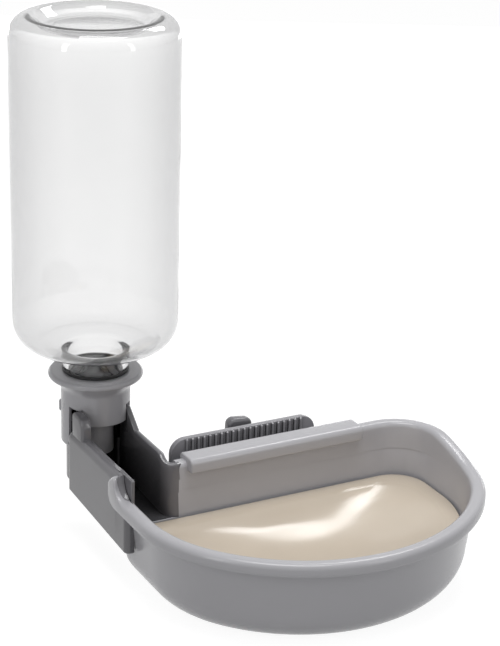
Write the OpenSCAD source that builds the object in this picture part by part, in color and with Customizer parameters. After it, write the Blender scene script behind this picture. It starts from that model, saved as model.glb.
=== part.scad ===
// Drinking bowl for a small animal, fed by an upturned bottle.
// A D-shaped bowl has a trough at its back left corner. The bottle screws
// into a collar that drops over the end of the trough, and a clamp behind
// the bowl grips the wires of a cage. All sizes are in millimetres, +Z is
// up, the flat back of the bowl faces +Y, and the origin lies under the
// middle of the whole object, on the surface that it stands on.

/* [Bowl] */
// Width over the bowl's side walls, without the rim
bowl_w = 151.2; // [144:0.2:164]
// Offset between the front arc's radius and the side arcs' radius
arc_step = 22; // [15:1:30]
// Length of the straight sides
side_len = 34.2; // [30:0.2:50]
// Height of the rim
bowl_h = 42; // [38:0.5:48]
// Radius of the left back corner, beside the trough
corner_r = 9; // [7:0.5:11]
// Radius of the right back corner
right_corner_r = 20; // [17:0.5:21]
// Thickness of the wall
wall = 2.4; // [1.8:0.1:3]
// How far the wall leans in from the rim to the base
wall_lean = 3; // [1:0.1:4]
// Radius of the base edge, at the front and the sides
base_r = 14; // [10:0.5:16]
// Radius of the base edge at the back
back_base_r = 5; // [4:0.5:6]
// Height of the foot ring under the floor
foot_h = 1.2; // [0.8:0.1:2]

/* [Rim] */
// How far the rolled rim stands out from the wall
rim_out = 3.9; // [3.2:0.1:5]
// Height of the rolled rim's skirt
rim_drop = 5.4; // [4.4:0.1:7]
// Thickness of the rolled rim
rim_t = 1.6; // [1.2:0.1:2]
// Edge radius of the rim
rim_r = 2.4; // [1.6:0.1:2.6]
// How far the rim is raised along the back and round the right corner
back_rise = 5.6; // [3:0.1:7]
// Length of the slope from the raised rim down along the right side
rise_run = 13; // [8:0.5:13]
// Radius of the rounded end of the rim beside the trough
rim_end_r = 6.6; // [5.8:0.1:7]

/* [Saddle] */
// Length of the raised saddle on the back wall
saddle_len = 86; // [78:1:92]
// Middle of the saddle, to the right of the bowl's middle
saddle_x = 1.6; // [0:0.1:6]
// Height of the saddle above the rim
saddle_rise = 7.8; // [6:0.1:9]
// How far the saddle stands into the bowl
saddle_in = 4.2; // [2:0.1:4.5]
// How far the saddle stands out behind the back wall
saddle_out = 5.2; // [5:0.1:6]
// Height of the saddle's inner face
saddle_h = 6.4; // [5:0.1:9]

/* [Trough] */
// Distance of the bottle's axis to the left of the bowl's middle
tower_side = 61.4; // [58:0.2:64]
// Distance of the bottle's axis behind the back wall
trough_len = 49.9; // [46:0.1:54]
// Height of the top of the trough's walls
trough_h = 51; // [48:0.5:52]
// From the bottle's axis to the inside of the near wall
near_side = 11; // [10.4:0.1:11.4]
// From the bottle's axis to the inside of the far wall
far_side = 9.6; // [9:0.1:10.6]
// Thickness of the far wall
trough_t = 2.6; // [2:0.1:3]
// Thickness of the near wall, which is hollow
panel_t = 5.6; // [5:0.1:6.4]
// Radius of the near wall's upper outer edge
panel_edge_r = 3.6; // [2:0.1:4]
// Thickness of the trough's floor
floor_t = 3.4; // [2.4:0.1:4]
// Height of the trough's underside at the bowl
under_low = 20; // [18:0.5:22]
// Height of the trough's underside at the end
under_high = 23; // [21:0.5:25]
// Inner radius of the trough's round end
end_r = 10.6; // [10:0.1:11]
// Wall thickness of the trough's round end
end_t = 2.6; // [2:0.1:2.8]
// Height of the round end, which carries the collar, above the walls
seat_rise = 2; // [1:0.1:3]
// Corner radius at the near wall's ends
panel_end_r = 2.4; // [1:0.1:2.6]
// Thickness of the plate at the near wall's front end, above the rim
fin_t = 1.4; // [1:0.1:1.8]
// Distance from the bottle's axis to the back end of the near wall
panel_end = 6.6; // [6:0.1:9]
// Distance from the bottle's axis to the front end of the near wall
panel_start = 69; // [66:0.5:72]
// Height of the ears above the walls
ear_h = 9.4; // [7:0.1:9.6]
// Thickness of the near wall's ear
ear_t = 4.6; // [3.6:0.1:4.8]
// Distance from the bottle's axis to the front of the ears
ear_front = 20.4; // [19:0.1:22]
// Distance from the bottle's axis to the back of the ears
ear_back = 9; // [8.6:0.1:9.6]

/* [Dish] */
// Height of the dish's border above the surface
dish_h = 23.4; // [20:0.2:24]
// Width of the dish's flat border
dish_border = 6.8; // [5:0.1:9]
// Depth of the dish below its border
dish_deep = 10; // [8:0.5:12]
// Width of the dish's curved slope, at the front and the sides
dish_slope = 30; // [24:1:32]
// Width of the dish's curved slope at the back
back_slope = 20; // [14:1:21]
// Thickness of the dish
dish_t = 1.8; // [1.4:0.1:2.2]
// Room between the dish and the bowl's wall
dish_gap = 0.3; // [0.2:0.05:0.5]

/* [Collar] */
// Height of the collar's top face above its seat
collar_h = 22; // [20:0.5:26]
// Outer diameter of the collar's cylinder
collar_d = 30.8; // [30.4:0.1:32]
// Inner diameter of the collar's skirt
skirt_bore = 28; // [27.8:0.1:28.4]
// Bore that takes the bottle's neck
collar_bore = 27.8; // [27.7:0.05:28]
// Diameter of the flange
flange_d = 42; // [38:0.2:46]
// Thickness of the flange
flange_t = 3; // [2:0.1:3.6]
// Height of the flare under the flange
flare_h = 4.2; // [3:0.1:7]
// How far the tongue hangs below the collar's seat
tongue_drop = 11.5; // [9:0.5:14]
// Distance from the bottle's axis to the tongue's front edges
tongue_edge = 4.3; // [3:0.1:5]
// Room around the ears in the collar's notches
ear_gap = 0.4; // [0.3:0.05:0.5]
// Diameter of the water outlet in the collar's floor
outlet_d = 13; // [11:0.2:14]
// Wall thickness of the outlet tube
outlet_t = 1.5; // [1.2:0.1:2]
// How far the outlet tube's end, which sets the water level, lies below
// the seat
water_drop = 17; // [15:0.5:22]
// Thickness of the collar's floor
collar_floor = 1.7; // [1.2:0.1:2]

/* [Bottle] */
// Diameter of the bottle
bottle_d = 72.6; // [68:0.2:76]
// Length of the bottle above the collar's top face
bottle_len = 158.5; // [140:0.1:180]
// Radius of the shoulder
shoulder_r = 12.6; // [10:0.1:14]
// Height of the shoulder's lowest point above the collar's top face
shoulder_gap = 11.8; // [10:0.1:14]
// Height of the funnel between the shoulder and the neck
funnel_h = 2; // [1:0.1:3]
// Radius of the bottle's base edge
heel_r = 8; // [6:0.1:10]
// Diameter of the hollow's mouth in the base
ring_d = 54; // [50:0.2:56]
// Depth of the hollow in the base
base_hollow = 5; // [3:0.1:7]
// Wall thickness of the bottle
bottle_t = 0.6; // [0.5:0.05:1]
// Outer diameter of the neck above the collar
neck_d = 29.2; // [28.8:0.1:30]
// Outer diameter of the neck inside the collar
thread_d = 27.6; // [27.55:0.05:27.6]
// Inner diameter of the neck
neck_bore = 21.6; // [20:0.2:23]
// Length of the neck inside the collar
thread_len = 13.5; // [12:0.1:13.5]

/* [Neck seal] */
// Outer diameter of the rubber ring
seal_d = 29.6; // [29:0.1:30.4]
// Thickness of the rubber ring
seal_t = 1.4; // [1.2:0.1:2]

/* [Clamp] */
// Middle of the clamp, to the left of the bowl's middle
clamp_side = 6.2; // [2:0.1:8]
// Width of the bracket
bracket_w = 50; // [44:1:56]
// Thickness of the bracket's plate
bracket_t = 3; // [2.6:0.1:3]
// Height of the bracket
bracket_h = 32; // [30:0.5:38]
// Gap for the cage's wire
wire_gap = 5; // [4.4:0.1:6]
// Length of the jaw
jaw_w = 72; // [62:1:76]
// Height of the jaw
jaw_h = 36; // [30:0.5:38]
// Thickness of the jaw without its ribs
jaw_t = 3.4; // [2.6:0.1:4.4]
// Height of the jaw's upper edge above the rim
jaw_rise = 9.6; // [8:0.1:11]
// Corner radius of the jaw
jaw_r = 7; // [5:0.5:9]
// Spacing of the ribs on the jaw
rib_pitch = 2.85; // [2.4:0.05:4]
// Height of the ribs
rib_h = 0.9; // [0.6:0.05:1.2]
// Diameter of the clamp screw
screw_d = 6; // [5:0.5:6]
// Height of the clamp screw's axis
screw_h = 32; // [30:0.5:33]
// Length of the screw behind the jaw
screw_tail = 22; // [20:0.5:26]
// Diameter of the screw's head
head_d = 13; // [12:0.5:14]
// Thickness of the screw's head
head_t = 2.4; // [2:0.1:2.6]
// Diameter of the washer
washer_d = 22; // [18:0.5:26]
// Thickness of the washer
washer_t = 1.2; // [1:0.1:1.6]
// Diameter of the wing nut's hub
hub_d = 13; // [12:0.5:15]
// Length of the wing nut's hub
hub_len = 9.5; // [8:0.5:11]
// Reach of a wing from the nut's axis
wing_reach = 20.6; // [18:0.2:23]
// Width of a wing at its end
wing_w = 12.4; // [10:0.2:14]
// Thickness of a wing
wing_t = 5; // [4:0.2:6]
// Angle of the wings from the vertical
wing_turn = 6; // [-20:1:20]

/* [Hidden] */
$fn = 96;
// Overlap between shapes that are added to one solid
lap = 0.2;
// Reach of cutting shapes past a face
past = 40;
// The inner edge of the rim starts this far inside the wall's face
rim_under = 0.3;

// Outline of the bowl: the front is three arcs that meet without a corner,
// because their centres lie on the slope of a 3-4-5 triangle
half_w = bowl_w / 2;
arc_dx = 0.8 * arc_step;
arc_dy = 0.6 * arc_step;
side_arc_r = half_w - arc_dx;
front_arc_r = side_arc_r + arc_step;
front_depth = front_arc_r - arc_dy;

// The whole object is centred over the origin
left_end = -tower_side - bottle_d / 2;
right_end = half_w + rim_out;
front_end = -front_depth - rim_out;
back_end = side_len + trough_len + bottle_d / 2;
bowl_x = -(left_end + right_end) / 2;
arc_y = -(front_end + back_end) / 2;
front_arc_y = arc_y + arc_dy;
back_y = arc_y + side_len;
wall_in_y = back_y - wall;
tower_x = bowl_x - tower_side;
tower_y = back_y + trough_len;

// Trough
near_in = tower_x - near_side;
far_in = tower_x + far_side;
near_out = near_in - panel_t;
far_out = far_in + trough_t;
panel_back = tower_y - panel_end;
panel_front = tower_y - panel_start;
end_out = end_r + end_t;
seat_h = trough_h + seat_rise;
floor_rise = (under_high - under_low) / trough_len;

// Rim and saddle
rim_end_y = back_y - 7;
back_top = bowl_h + back_rise;
corner_x = bowl_x + half_w - right_corner_r;
corner_y = back_y - right_corner_r;
saddle_x0 = bowl_x + saddle_x - saddle_len / 2;
saddle_x1 = saddle_x0 + saddle_len;
saddle_top = bowl_h + saddle_rise;
saddle_front = wall_in_y - saddle_in;
saddle_back = back_y + saddle_out;
skirt_low = bowl_h - rim_drop;

// Collar and bottle
body_r = bottle_d / 2;
collar_top = seat_h + collar_h;
bottle_top = collar_top + bottle_len;
shoulder_low = collar_top + shoulder_gap;
neck_low = collar_top - thread_len;
floor_top = neck_low - 0.3;
floor_low = floor_top - collar_floor;
tongue_low = seat_h - tongue_drop;
water_h = seat_h - water_drop;
bump_low = seat_h + 1.5;
rib_top = tongue_low - 0.5;
seal_gap = 0.08;

// Clamp
clamp_x = bowl_x - clamp_side;
slide_gap = 0.3;
plate_y0 = back_y + slide_gap;
plate_y1 = plate_y0 + bracket_t;
pad_y = saddle_back + 0.7;
bracket_top = saddle_top - rim_t - 0.6;
bracket_low = bracket_top - bracket_h;
pad_top = skirt_low - 0.6;
jaw_face = pad_y + wire_gap;
plate_face = jaw_face + rib_h;
jaw_back = plate_face + jaw_t;
jaw_top = bowl_h + jaw_rise;
screw_r = screw_d / 2;
screw_gap = 0.05;

// Extrudes a view from the right, with Y across and Z up, from x0 to x1
module across(x0, x1) {
  translate([x0, 0, 0]) rotate([90, 0, 90]) linear_extrude(x1 - x0)
    children();
}

// Extrudes a view from the front, with X across and Z up, from y0 to y1
module along(y0, y1) {
  translate([0, y1, 0]) rotate([90, 0, 0]) linear_extrude(y1 - y0)
    children();
}

// Turns a profile along the front arc, between the side arcs
module front_sweep() {
  translate([bowl_x, front_arc_y, 0]) intersection() {
    rotate_extrude() children();
    linear_extrude(120)
      polygon([[-arc_dx, -arc_dy], [-160, -120], [160, -120],
               [arc_dx, -arc_dy]]);
  }
}

// Turns a profile along a side arc: side is -1 for left, 1 for right
module side_sweep(side) {
  translate([bowl_x + side * arc_dx, arc_y, 0]) intersection() {
    rotate_extrude() children();
    linear_extrude(120)
      polygon([[0, 0], [side * 160, 0], [side * 160, -120]]);
  }
}

// Solid profile out to a leaning wall with a round base edge. r is the
// radius at the rim, inset moves the wall in, and the wall stands
// upright above lean_top.
module filled_profile(r, inset, low, lean_top, high, edge) {
  foot = r - inset - wall_lean;
  sides = [[0, low], [foot - edge, low], [foot - edge, low + edge],
           [foot, low + edge], [r - inset, lean_top]];
  ends = high > lean_top ? [[r - inset, high], [0, high]] : [[0, high]];
  polygon(concat(sides, ends));
  intersection() {
    translate([foot - edge, low + edge]) circle(edge);
    translate([foot - edge, low]) square([edge, edge]);
  }
}

// Solid body of the bowl, with its wall moved in by inset
module bowl_body(inset, low, lean_top, high, edge, back_edge) {
  front_sweep()
    filled_profile(front_arc_r, inset, low, lean_top, high, edge);
  side_sweep(-1)
    filled_profile(side_arc_r, inset, low, lean_top, high, edge);
  side_sweep(1)
    filled_profile(side_arc_r, inset, low, lean_top, high, edge);
  // Straight rear part: its front view, side view and plan in one
  intersection() {
    translate([bowl_x, 0, 0]) along(arc_y, back_y + past) {
      filled_profile(half_w, inset, low, lean_top, high, edge);
      mirror([1, 0])
        filled_profile(half_w, inset, low, lean_top, high, edge);
    }
    translate([0, arc_y, 0])
      across(bowl_x - half_w - past, bowl_x + half_w + past)
        filled_profile(side_len, inset, low, lean_top, high, back_edge);
    translate([bowl_x, arc_y, low]) linear_extrude(high - low)
      rear_plan(inset);
  }
}

// Plan of the straight rear part, with round back corners
module rear_plan(inset) {
  x = half_w - inset;
  left = corner_r - inset;
  right = right_corner_r - inset;
  translate([-x, 0]) square([2 * x, side_len - right_corner_r]);
  translate([-x, 0]) square([x, side_len - corner_r]);
  translate([left - x, 0])
    square([2 * x - left - right, side_len - inset]);
  translate([x - right, side_len - right_corner_r]) circle(right);
  translate([left - x, side_len - corner_r]) circle(left);
}

// Section of the rolled rim: x is out from the wall, y is height
module rim_profile(rise) {
  top = bowl_h + rise;
  x0 = -wall - rim_under;
  width = rim_out - x0;
  difference() {
    union() {
      translate([x0, skirt_low])
        square([width, top - rim_r - skirt_low]);
      translate([x0 + rim_r, top - rim_r])
        square([width - 2 * rim_r, rim_r]);
      intersection() {
        union() {
          translate([x0 + rim_r, top - rim_r]) circle(rim_r);
          translate([rim_out - rim_r, top - rim_r]) circle(rim_r);
        }
        translate([x0, top - rim_r]) square([width, rim_r]);
      }
    }
    translate([0, skirt_low - lap])
      square([rim_out - rim_t, top - rim_t - skirt_low + lap]);
  }
}

// Rolled rim, open at the trough, and raised along the back and round the
// right corner
module rim() {
  front_sweep() translate([front_arc_r, 0]) rim_profile(0);
  side_sweep(-1) translate([side_arc_r, 0]) rim_profile(0);
  side_sweep(1) translate([side_arc_r, 0]) rim_profile(0);
  along(arc_y, corner_y) translate([bowl_x + half_w, 0]) rim_profile(0);
  along(arc_y, rim_end_y) translate([bowl_x - half_w, 0]) mirror([1, 0])
    rim_profile(0);
  translate([corner_x, corner_y, 0]) rotate_extrude(angle = 90)
    translate([right_corner_r, 0]) rim_profile(back_rise);
  across(far_in + lap, corner_x) translate([back_y, 0])
    rim_profile(back_rise);
  rise_end();
  // Rounded end beside the trough
  translate([bowl_x - half_w - rim_out, rim_end_y, bowl_h])
    rotate([0, 90, 0]) cylinder(h = rim_out + wall, r = rim_end_r);
}

// Slope from the raised rim down along the right side, solid inside
module rise_end() {
  y0 = corner_y - rise_run;
  x0 = bowl_x + half_w;
  intersection() {
    along(y0, corner_y) translate([x0 - wall - rim_under, skirt_low])
      square([wall + rim_under + rim_out, back_top - skirt_low]);
    across(x0 - past, x0 + past)
      polygon([[y0, skirt_low], [corner_y, skirt_low],
               [corner_y, back_top], [y0, bowl_h]]);
  }
}

// Raised saddle over the back wall, solid before its pocket is cut
module saddle() {
  depth = saddle_back - saddle_front;
  across(saddle_x0, saddle_x1) {
    translate([saddle_front, saddle_top - saddle_h])
      square([depth, saddle_h - rim_r]);
    translate([wall_in_y, skirt_low])
      square([saddle_back - wall_in_y, saddle_top - rim_r - skirt_low]);
    translate([saddle_front + rim_r, saddle_top - rim_r])
      square([depth - 2 * rim_r, rim_r]);
    intersection() {
      union() {
        translate([saddle_front + rim_r, saddle_top - rim_r])
          circle(rim_r);
        translate([saddle_back - rim_r, saddle_top - rim_r])
          circle(rim_r);
      }
      translate([saddle_front, saddle_top - rim_r])
        square([depth, rim_r]);
    }
  }
}

// Pocket under the saddle that takes the bracket's plate
module saddle_pocket() {
  translate([saddle_x0 + 2, back_y, skirt_low - 1])
    cube([saddle_len - 4, saddle_out - rim_t,
          saddle_top - rim_t - skirt_low + 1]);
}

// View of the trough from the right, above a sloping line
module above_slope(lift, up) {
  y0 = panel_front - 10;
  y1 = tower_y + body_r;
  polygon([[y0, under_low + lift + floor_rise * (y0 - back_y)],
           [y1, under_low + lift + floor_rise * (y1 - back_y)],
           [y1, up], [y0, up]]);
}

// Plan of the near wall, with round outer corners
module panel_plan() {
  r = panel_end_r;
  length = panel_back - panel_front;
  translate([near_out, panel_front + r]) square([panel_t, length - 2 * r]);
  translate([near_out + r, panel_front]) square([panel_t - r, length]);
  for (y = [panel_front + r, panel_back - r])
    translate([near_out + r, y]) circle(r);
}

// Outer form of the trough, its near wall and its round end
module trough_outer() {
  intersection() {
    union() {
      linear_extrude(trough_h) panel_plan();
      translate([near_in - 2, wall_in_y, 0])
        cube([far_out - near_in + 2, tower_y - wall_in_y, trough_h]);
      translate([tower_x, tower_y, 0]) cylinder(h = seat_h, r = end_out);
    }
    across(near_out - past, far_out + past) above_slope(0, seat_h + 1);
  }
}

// What the trough loses: the channel, the near wall's hollow, its rounded
// upper edge and the slope at its front end, behind which a thin plate stays
module trough_cuts() {
  intersection() {
    union() {
      translate([near_in, panel_front - past, 0])
        cube([far_in - near_in, tower_y - panel_front + past,
              seat_h + 1]);
      translate([tower_x, tower_y, 0]) cylinder(h = seat_h + 1, r = end_r);
    }
    across(near_out - past, far_out + past)
      above_slope(floor_t, seat_h + 2);
  }
  translate([near_out + 2, panel_front + panel_t, 0])
    cube([panel_t - 4, panel_back - panel_front - panel_t - 3,
          trough_h - panel_edge_r - 1]);
  along(panel_front - 1, panel_back + 1) difference() {
    translate([near_out - 1, trough_h - panel_edge_r])
      square([panel_edge_r + 1, panel_edge_r + 1]);
    translate([near_out + panel_edge_r, trough_h - panel_edge_r])
      circle(panel_edge_r);
  }
  across(near_out - 1, bowl_x - half_w + wall - fin_t)
    polygon([[panel_front - 1, bowl_h], [panel_front + 4.5, bowl_h],
             [panel_front + 9, trough_h + 1],
             [panel_front - 1, trough_h + 1]]);
}

// Lug that stands up from the near wall beside the collar, with a round
// front
module near_ear() {
  y0 = tower_y - ear_front;
  y1 = tower_y - ear_back;
  top = trough_h + ear_h;
  r = 5;
  across(near_in - ear_t, near_in) {
    translate([y0 + r, top - r]) circle(r);
    translate([y0, trough_h - 3]) square([y1 - y0, top - r - trough_h + 3]);
    translate([y0 + r, top - r]) square([y1 - y0 - r, r]);
  }
}

// Lug that stands up from the far wall beside the collar, with a sloping
// front
module far_ear() {
  y0 = tower_y - ear_front;
  y1 = tower_y - ear_back;
  across(far_in, far_out)
    polygon([[y0, trough_h - 3], [y1, trough_h - 3], [y1, trough_h + ear_h],
             [y0, trough_h]]);
}

// Ribs at the end of the channel that keep the collar's outlet in place
module end_ribs() {
  for (side = [-1, 1])
    translate([tower_x + side * (end_r - 0.4), tower_y - 3, under_high])
      cylinder(h = rib_top - under_high, r = 1.2);
}

// Ledge on the wall that carries the dish
module dish_ledge() {
  top = dish_h - dish_t;
  intersection() {
    difference() {
      bowl_body(wall - 1, foot_h, bowl_h, bowl_h, base_r - wall,
                back_base_r - 2);
      bowl_body(wall + 2.6, foot_h - 1, bowl_h, bowl_h + 1, base_r - wall,
                back_base_r - 2);
    }
    translate([-past * 3, -past * 4, top - 2])
      cube([past * 6, past * 8, 2]);
  }
}

// Foot ring under the floor
module foot_ring() {
  x = base_r + wall_lean + 1;
  w = 2.4;
  h = foot_h + wall / 2;
  back = back_base_r + wall_lean + 1;
  front_sweep() translate([front_arc_r - x - w, 0]) square([w, h]);
  side_sweep(-1) translate([side_arc_r - x - w, 0]) square([w, h]);
  side_sweep(1) translate([side_arc_r - x - w, 0]) square([w, h]);
  translate([bowl_x - half_w + x, arc_y, 0])
    cube([w, side_len - back, h]);
  translate([bowl_x + half_w - x - w, arc_y, 0])
    cube([w, side_len - back, h]);
  translate([bowl_x - half_w + x, back_y - back - w, 0])
    cube([2 * (half_w - x), w, h]);
}

module bowl() {
  color("#8a898f") difference() {
    union() {
      difference() {
        union() {
          bowl_body(0, foot_h, bowl_h - rim_r, bowl_h - rim_r, base_r,
                    back_base_r);
          rim();
          trough_outer();
        }
        bowl_body(wall, foot_h + wall, bowl_h, bowl_h + past,
                  base_r - wall, back_base_r - wall);
        trough_cuts();
      }
      saddle();
      near_ear();
      far_ear();
      end_ribs();
      dish_ledge();
      foot_ring();
    }
    saddle_pocket();
  }
}

// Half section of the dish: grow is 0 for its upper face, and dish_t for
// its lower one
module dish_profile(r, slope, grow) {
  edge = r - wall - wall_lean - dish_gap + dish_room;
  inner = edge - dish_border;
  flat = inner - slope;
  arc_r = (slope * slope + dish_deep * dish_deep) / (2 * dish_deep);
  low = dish_h - dish_deep;
  square_top = dish_h + (grow > 0 ? 0 : 1);
  translate([0, low - grow]) square([flat + 0.01, square_top - low + grow]);
  intersection() {
    translate([flat, low + arc_r]) circle(arc_r + grow, $fn = 240);
    translate([flat, low - grow])
      square([slope + 2 * grow, square_top - low + grow]);
  }
  if (grow > 0)
    translate([0, dish_h - dish_t]) square([edge, dish_t]);
}
// The wall leans out from its foot, so the dish's edge lies this far out
dish_room = wall_lean * 0.2;

// Dish body swept along the bowl's outline
module dish_body(grow) {
  front_sweep() dish_profile(front_arc_r, dish_slope, grow);
  side_sweep(-1) dish_profile(side_arc_r, dish_slope, grow);
  side_sweep(1) dish_profile(side_arc_r, dish_slope, grow);
  intersection() {
    translate([bowl_x, 0, 0]) along(arc_y, back_y + past) {
      dish_profile(half_w, dish_slope, grow);
      mirror([1, 0]) dish_profile(half_w, dish_slope, grow);
    }
    translate([0, arc_y, 0])
      across(bowl_x - half_w - past, bowl_x + half_w + past)
        dish_profile(side_len, back_slope, grow);
    translate([bowl_x, arc_y, 0]) linear_extrude(past)
      rear_plan(wall + wall_lean + dish_gap - dish_room);
  }
}

module dish() {
  color("#d9d2c4") difference() {
    dish_body(dish_t);
    dish_body(0);
  }
}

// Collar that drops over the round end of the trough
module collar() {
  r = collar_d / 2;
  color("#8a898f") translate([tower_x, tower_y, 0]) {
    difference() {
      union() {
        translate([0, 0, tongue_low])
          cylinder(h = collar_top - flange_t - tongue_low, r = r);
        translate([0, 0, collar_top - flange_t - flare_h])
          cylinder(h = flare_h, r1 = r, r2 = flange_d / 2 - 1.6);
        rotate_extrude() {
          translate([0, collar_top - flange_t])
            square([(flange_d - flange_t) / 2, flange_t]);
          translate([(flange_d - flange_t) / 2, collar_top - flange_t / 2])
            circle(flange_t / 2);
        }
        grip_bumps(r);
      }
      // Bore for the neck, and room below the floor
      translate([0, 0, floor_top])
        cylinder(h = collar_top - floor_top + 1, d = collar_bore);
      translate([0, 0, seat_h + collar_floor])
        cylinder(h = floor_low - seat_h - collar_floor, d = skirt_bore);
      translate([0, 0, tongue_low - 1])
        cylinder(h = seat_h - tongue_low + 1, d = skirt_bore);
      translate([0, 0, tongue_low - 1])
        cylinder(h = floor_top - tongue_low + 2, d = outlet_d);
      translate([0, 0, tongue_low - 1])
        cylinder(h = seat_h + collar_floor - tongue_low + 1 + lap,
                 r = end_r);
      collar_cuts(r);
    }
    // Outlet tube that sets the water level
    difference() {
      translate([0, 0, water_h])
        cylinder(h = floor_top - lap - water_h,
                 r = outlet_d / 2 + outlet_t);
      translate([0, 0, water_h - 1])
        cylinder(h = floor_top - water_h + 2, d = outlet_d);
    }
  }
}

// Small bumps on the tongue's sides
module grip_bumps(r) {
  for (side = [-1, 1])
    translate([side * (r - 0.6) * 0.882, (r - 0.6) * 0.471, bump_low])
      cylinder(h = 5, r = 1.6);
}

// Notches for the ears, and all that hangs lower in front of the tongue
module collar_cuts(r) {
  notch_top = trough_h + ear_h + ear_gap;
  far_x = far_side - ear_gap;
  near_x = near_side - ear_gap;
  translate([far_x, -past, tongue_low - 1])
    cube([past, past - tongue_edge, notch_top - tongue_low + 1]);
  translate([-near_x - past, -past, tongue_low - 1])
    cube([past, past - tongue_edge, notch_top - tongue_low + 1]);
  translate([-past, -past, tongue_low - 1])
    cube([2 * past, past - tongue_edge, seat_h - tongue_low + 1]);
  // Rounded lower corners of the tongue
  across(-past, past) difference() {
    translate([-tongue_edge - 1, tongue_low - 1]) square([3, 3]);
    translate([2 - tongue_edge, tongue_low + 2]) circle(2);
  }
}

// Rubber ring between the collar and the bottle's neck
module neck_seal() {
  color("#1a1a1c") translate([tower_x, tower_y, collar_top])
    difference() {
      cylinder(h = seal_t, d = seal_d);
      translate([0, 0, -1])
        cylinder(h = seal_t + 2, r = thread_d / 2 + seal_gap);
    }
}

// Half section of the bottle, filled, with its faces moved in by inset
module bottle_profile(inset) {
  shoulder_mid = body_r - shoulder_r;
  heel_mid = body_r - heel_r;
  z1 = shoulder_low + shoulder_r;
  z2 = bottle_top - heel_r;
  translate([0, z1]) square([body_r - inset, z2 - z1]);
  translate([0, shoulder_low + inset])
    square([shoulder_mid, shoulder_r - inset]);
  intersection() {
    translate([shoulder_mid, z1]) circle(shoulder_r - inset);
    translate([shoulder_mid, shoulder_low])
      square([shoulder_r, shoulder_r]);
  }
  translate([0, z2]) square([heel_mid, heel_r - inset]);
  intersection() {
    translate([heel_mid, z2]) circle(heel_r - inset);
    translate([heel_mid, z2]) square([heel_r, heel_r]);
  }
}

module bottle() {
  seal_top = collar_top + seal_t;
  funnel_low = shoulder_low - funnel_h;
  mouth_r = ring_d / 2;
  hollow_r = mouth_r - base_hollow;
  color([0.93, 0.95, 0.96, 0.35]) translate([tower_x, tower_y, 0])
    difference() {
      union() {
        rotate_extrude() bottle_profile(0);
        translate([0, 0, funnel_low])
          cylinder(h = funnel_h + lap, r1 = neck_d / 2 + 1,
                   r2 = body_r - shoulder_r);
        translate([0, 0, seal_top])
          cylinder(h = shoulder_low - seal_top + 1, d = neck_d);
        translate([0, 0, neck_low])
          cylinder(h = seal_top - neck_low + 1, d = thread_d);
      }
      // Room inside, without the hollow of the base
      difference() {
        union() {
          rotate_extrude() bottle_profile(bottle_t);
          translate([0, 0, funnel_low + bottle_t])
            cylinder(h = funnel_h + lap, r1 = neck_d / 2,
                     r2 = body_r - shoulder_r - 1);
        }
        translate([0, 0, bottle_top - base_hollow - bottle_t])
          cylinder(h = base_hollow + 2, r1 = hollow_r + 0.4 * bottle_t,
                   r2 = hollow_r + base_hollow + 2 + 0.4 * bottle_t);
      }
      translate([0, 0, neck_low - 1])
        cylinder(h = shoulder_low + 3 - neck_low, d = neck_bore);
      translate([0, 0, bottle_top - base_hollow])
        cylinder(h = base_hollow + 1, r1 = hollow_r, r2 = mouth_r + 1);
    }
}

// Cylinder along Y about the clamp screw's axis, from y0 to y1
module screw_rod(y0, y1, r) {
  translate([clamp_x, y1, screw_h]) rotate([90, 0, 0])
    cylinder(h = y1 - y0, r = r);
}

// Plate that slides up into the saddle's pocket, with a pad for the wire
module bracket() {
  color("#8a898f") difference() {
    union() {
      translate([clamp_x - bracket_w / 2, plate_y0, bracket_low])
        cube([bracket_w, bracket_t, bracket_h]);
      translate([clamp_x - bracket_w / 2, plate_y1 - lap, bracket_low])
        cube([bracket_w, pad_y - plate_y1 + lap, pad_top - bracket_low]);
    }
    screw_rod(plate_y0 - 1, pad_y + 1, screw_r + screw_gap);
    screw_rod(plate_y0 - 1, plate_y0 + head_t + 0.2, head_d / 2 + 0.2);
  }
}

// Screw with a flat round head, held in the bracket
module clamp_screw() {
  color("silver") {
    screw_rod(plate_y0 + 0.2, plate_y0 + 0.2 + head_t, head_d / 2);
    screw_rod(plate_y0 + head_t, jaw_back + screw_tail, screw_r);
  }
}

// View of the jaw from the front, with round corners
module jaw_view() {
  x0 = clamp_x - jaw_w / 2;
  z0 = jaw_top - jaw_h;
  translate([x0 + jaw_r, z0]) square([jaw_w - 2 * jaw_r, jaw_h]);
  translate([x0, z0 + jaw_r]) square([jaw_w, jaw_h - 2 * jaw_r]);
  for (x = [x0 + jaw_r, x0 + jaw_w - jaw_r])
    for (z = [z0 + jaw_r, z0 + jaw_h - jaw_r])
      translate([x, z]) circle(jaw_r);
}

// Outer plate of the clamp, ribbed on the face that grips the wire
module jaw() {
  count = floor((jaw_w / 2 - jaw_r) / rib_pitch);
  color("#8a898f") difference() {
    union() {
      along(plate_face, jaw_back) jaw_view();
      for (i = [-count : count])
        translate([clamp_x + i * rib_pitch - rib_pitch / 4, jaw_face,
                   jaw_top - jaw_h + 1])
          cube([rib_pitch / 2, rib_h + lap, jaw_h - 1]);
    }
    screw_rod(jaw_face - 1, jaw_back + 1, screw_r + screw_gap);
  }
}

module washer() {
  color("silver") difference() {
    screw_rod(jaw_back, jaw_back + washer_t, washer_d / 2);
    screw_rod(jaw_back - 1, jaw_back + washer_t + 1, screw_r + screw_gap);
  }
}

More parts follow.
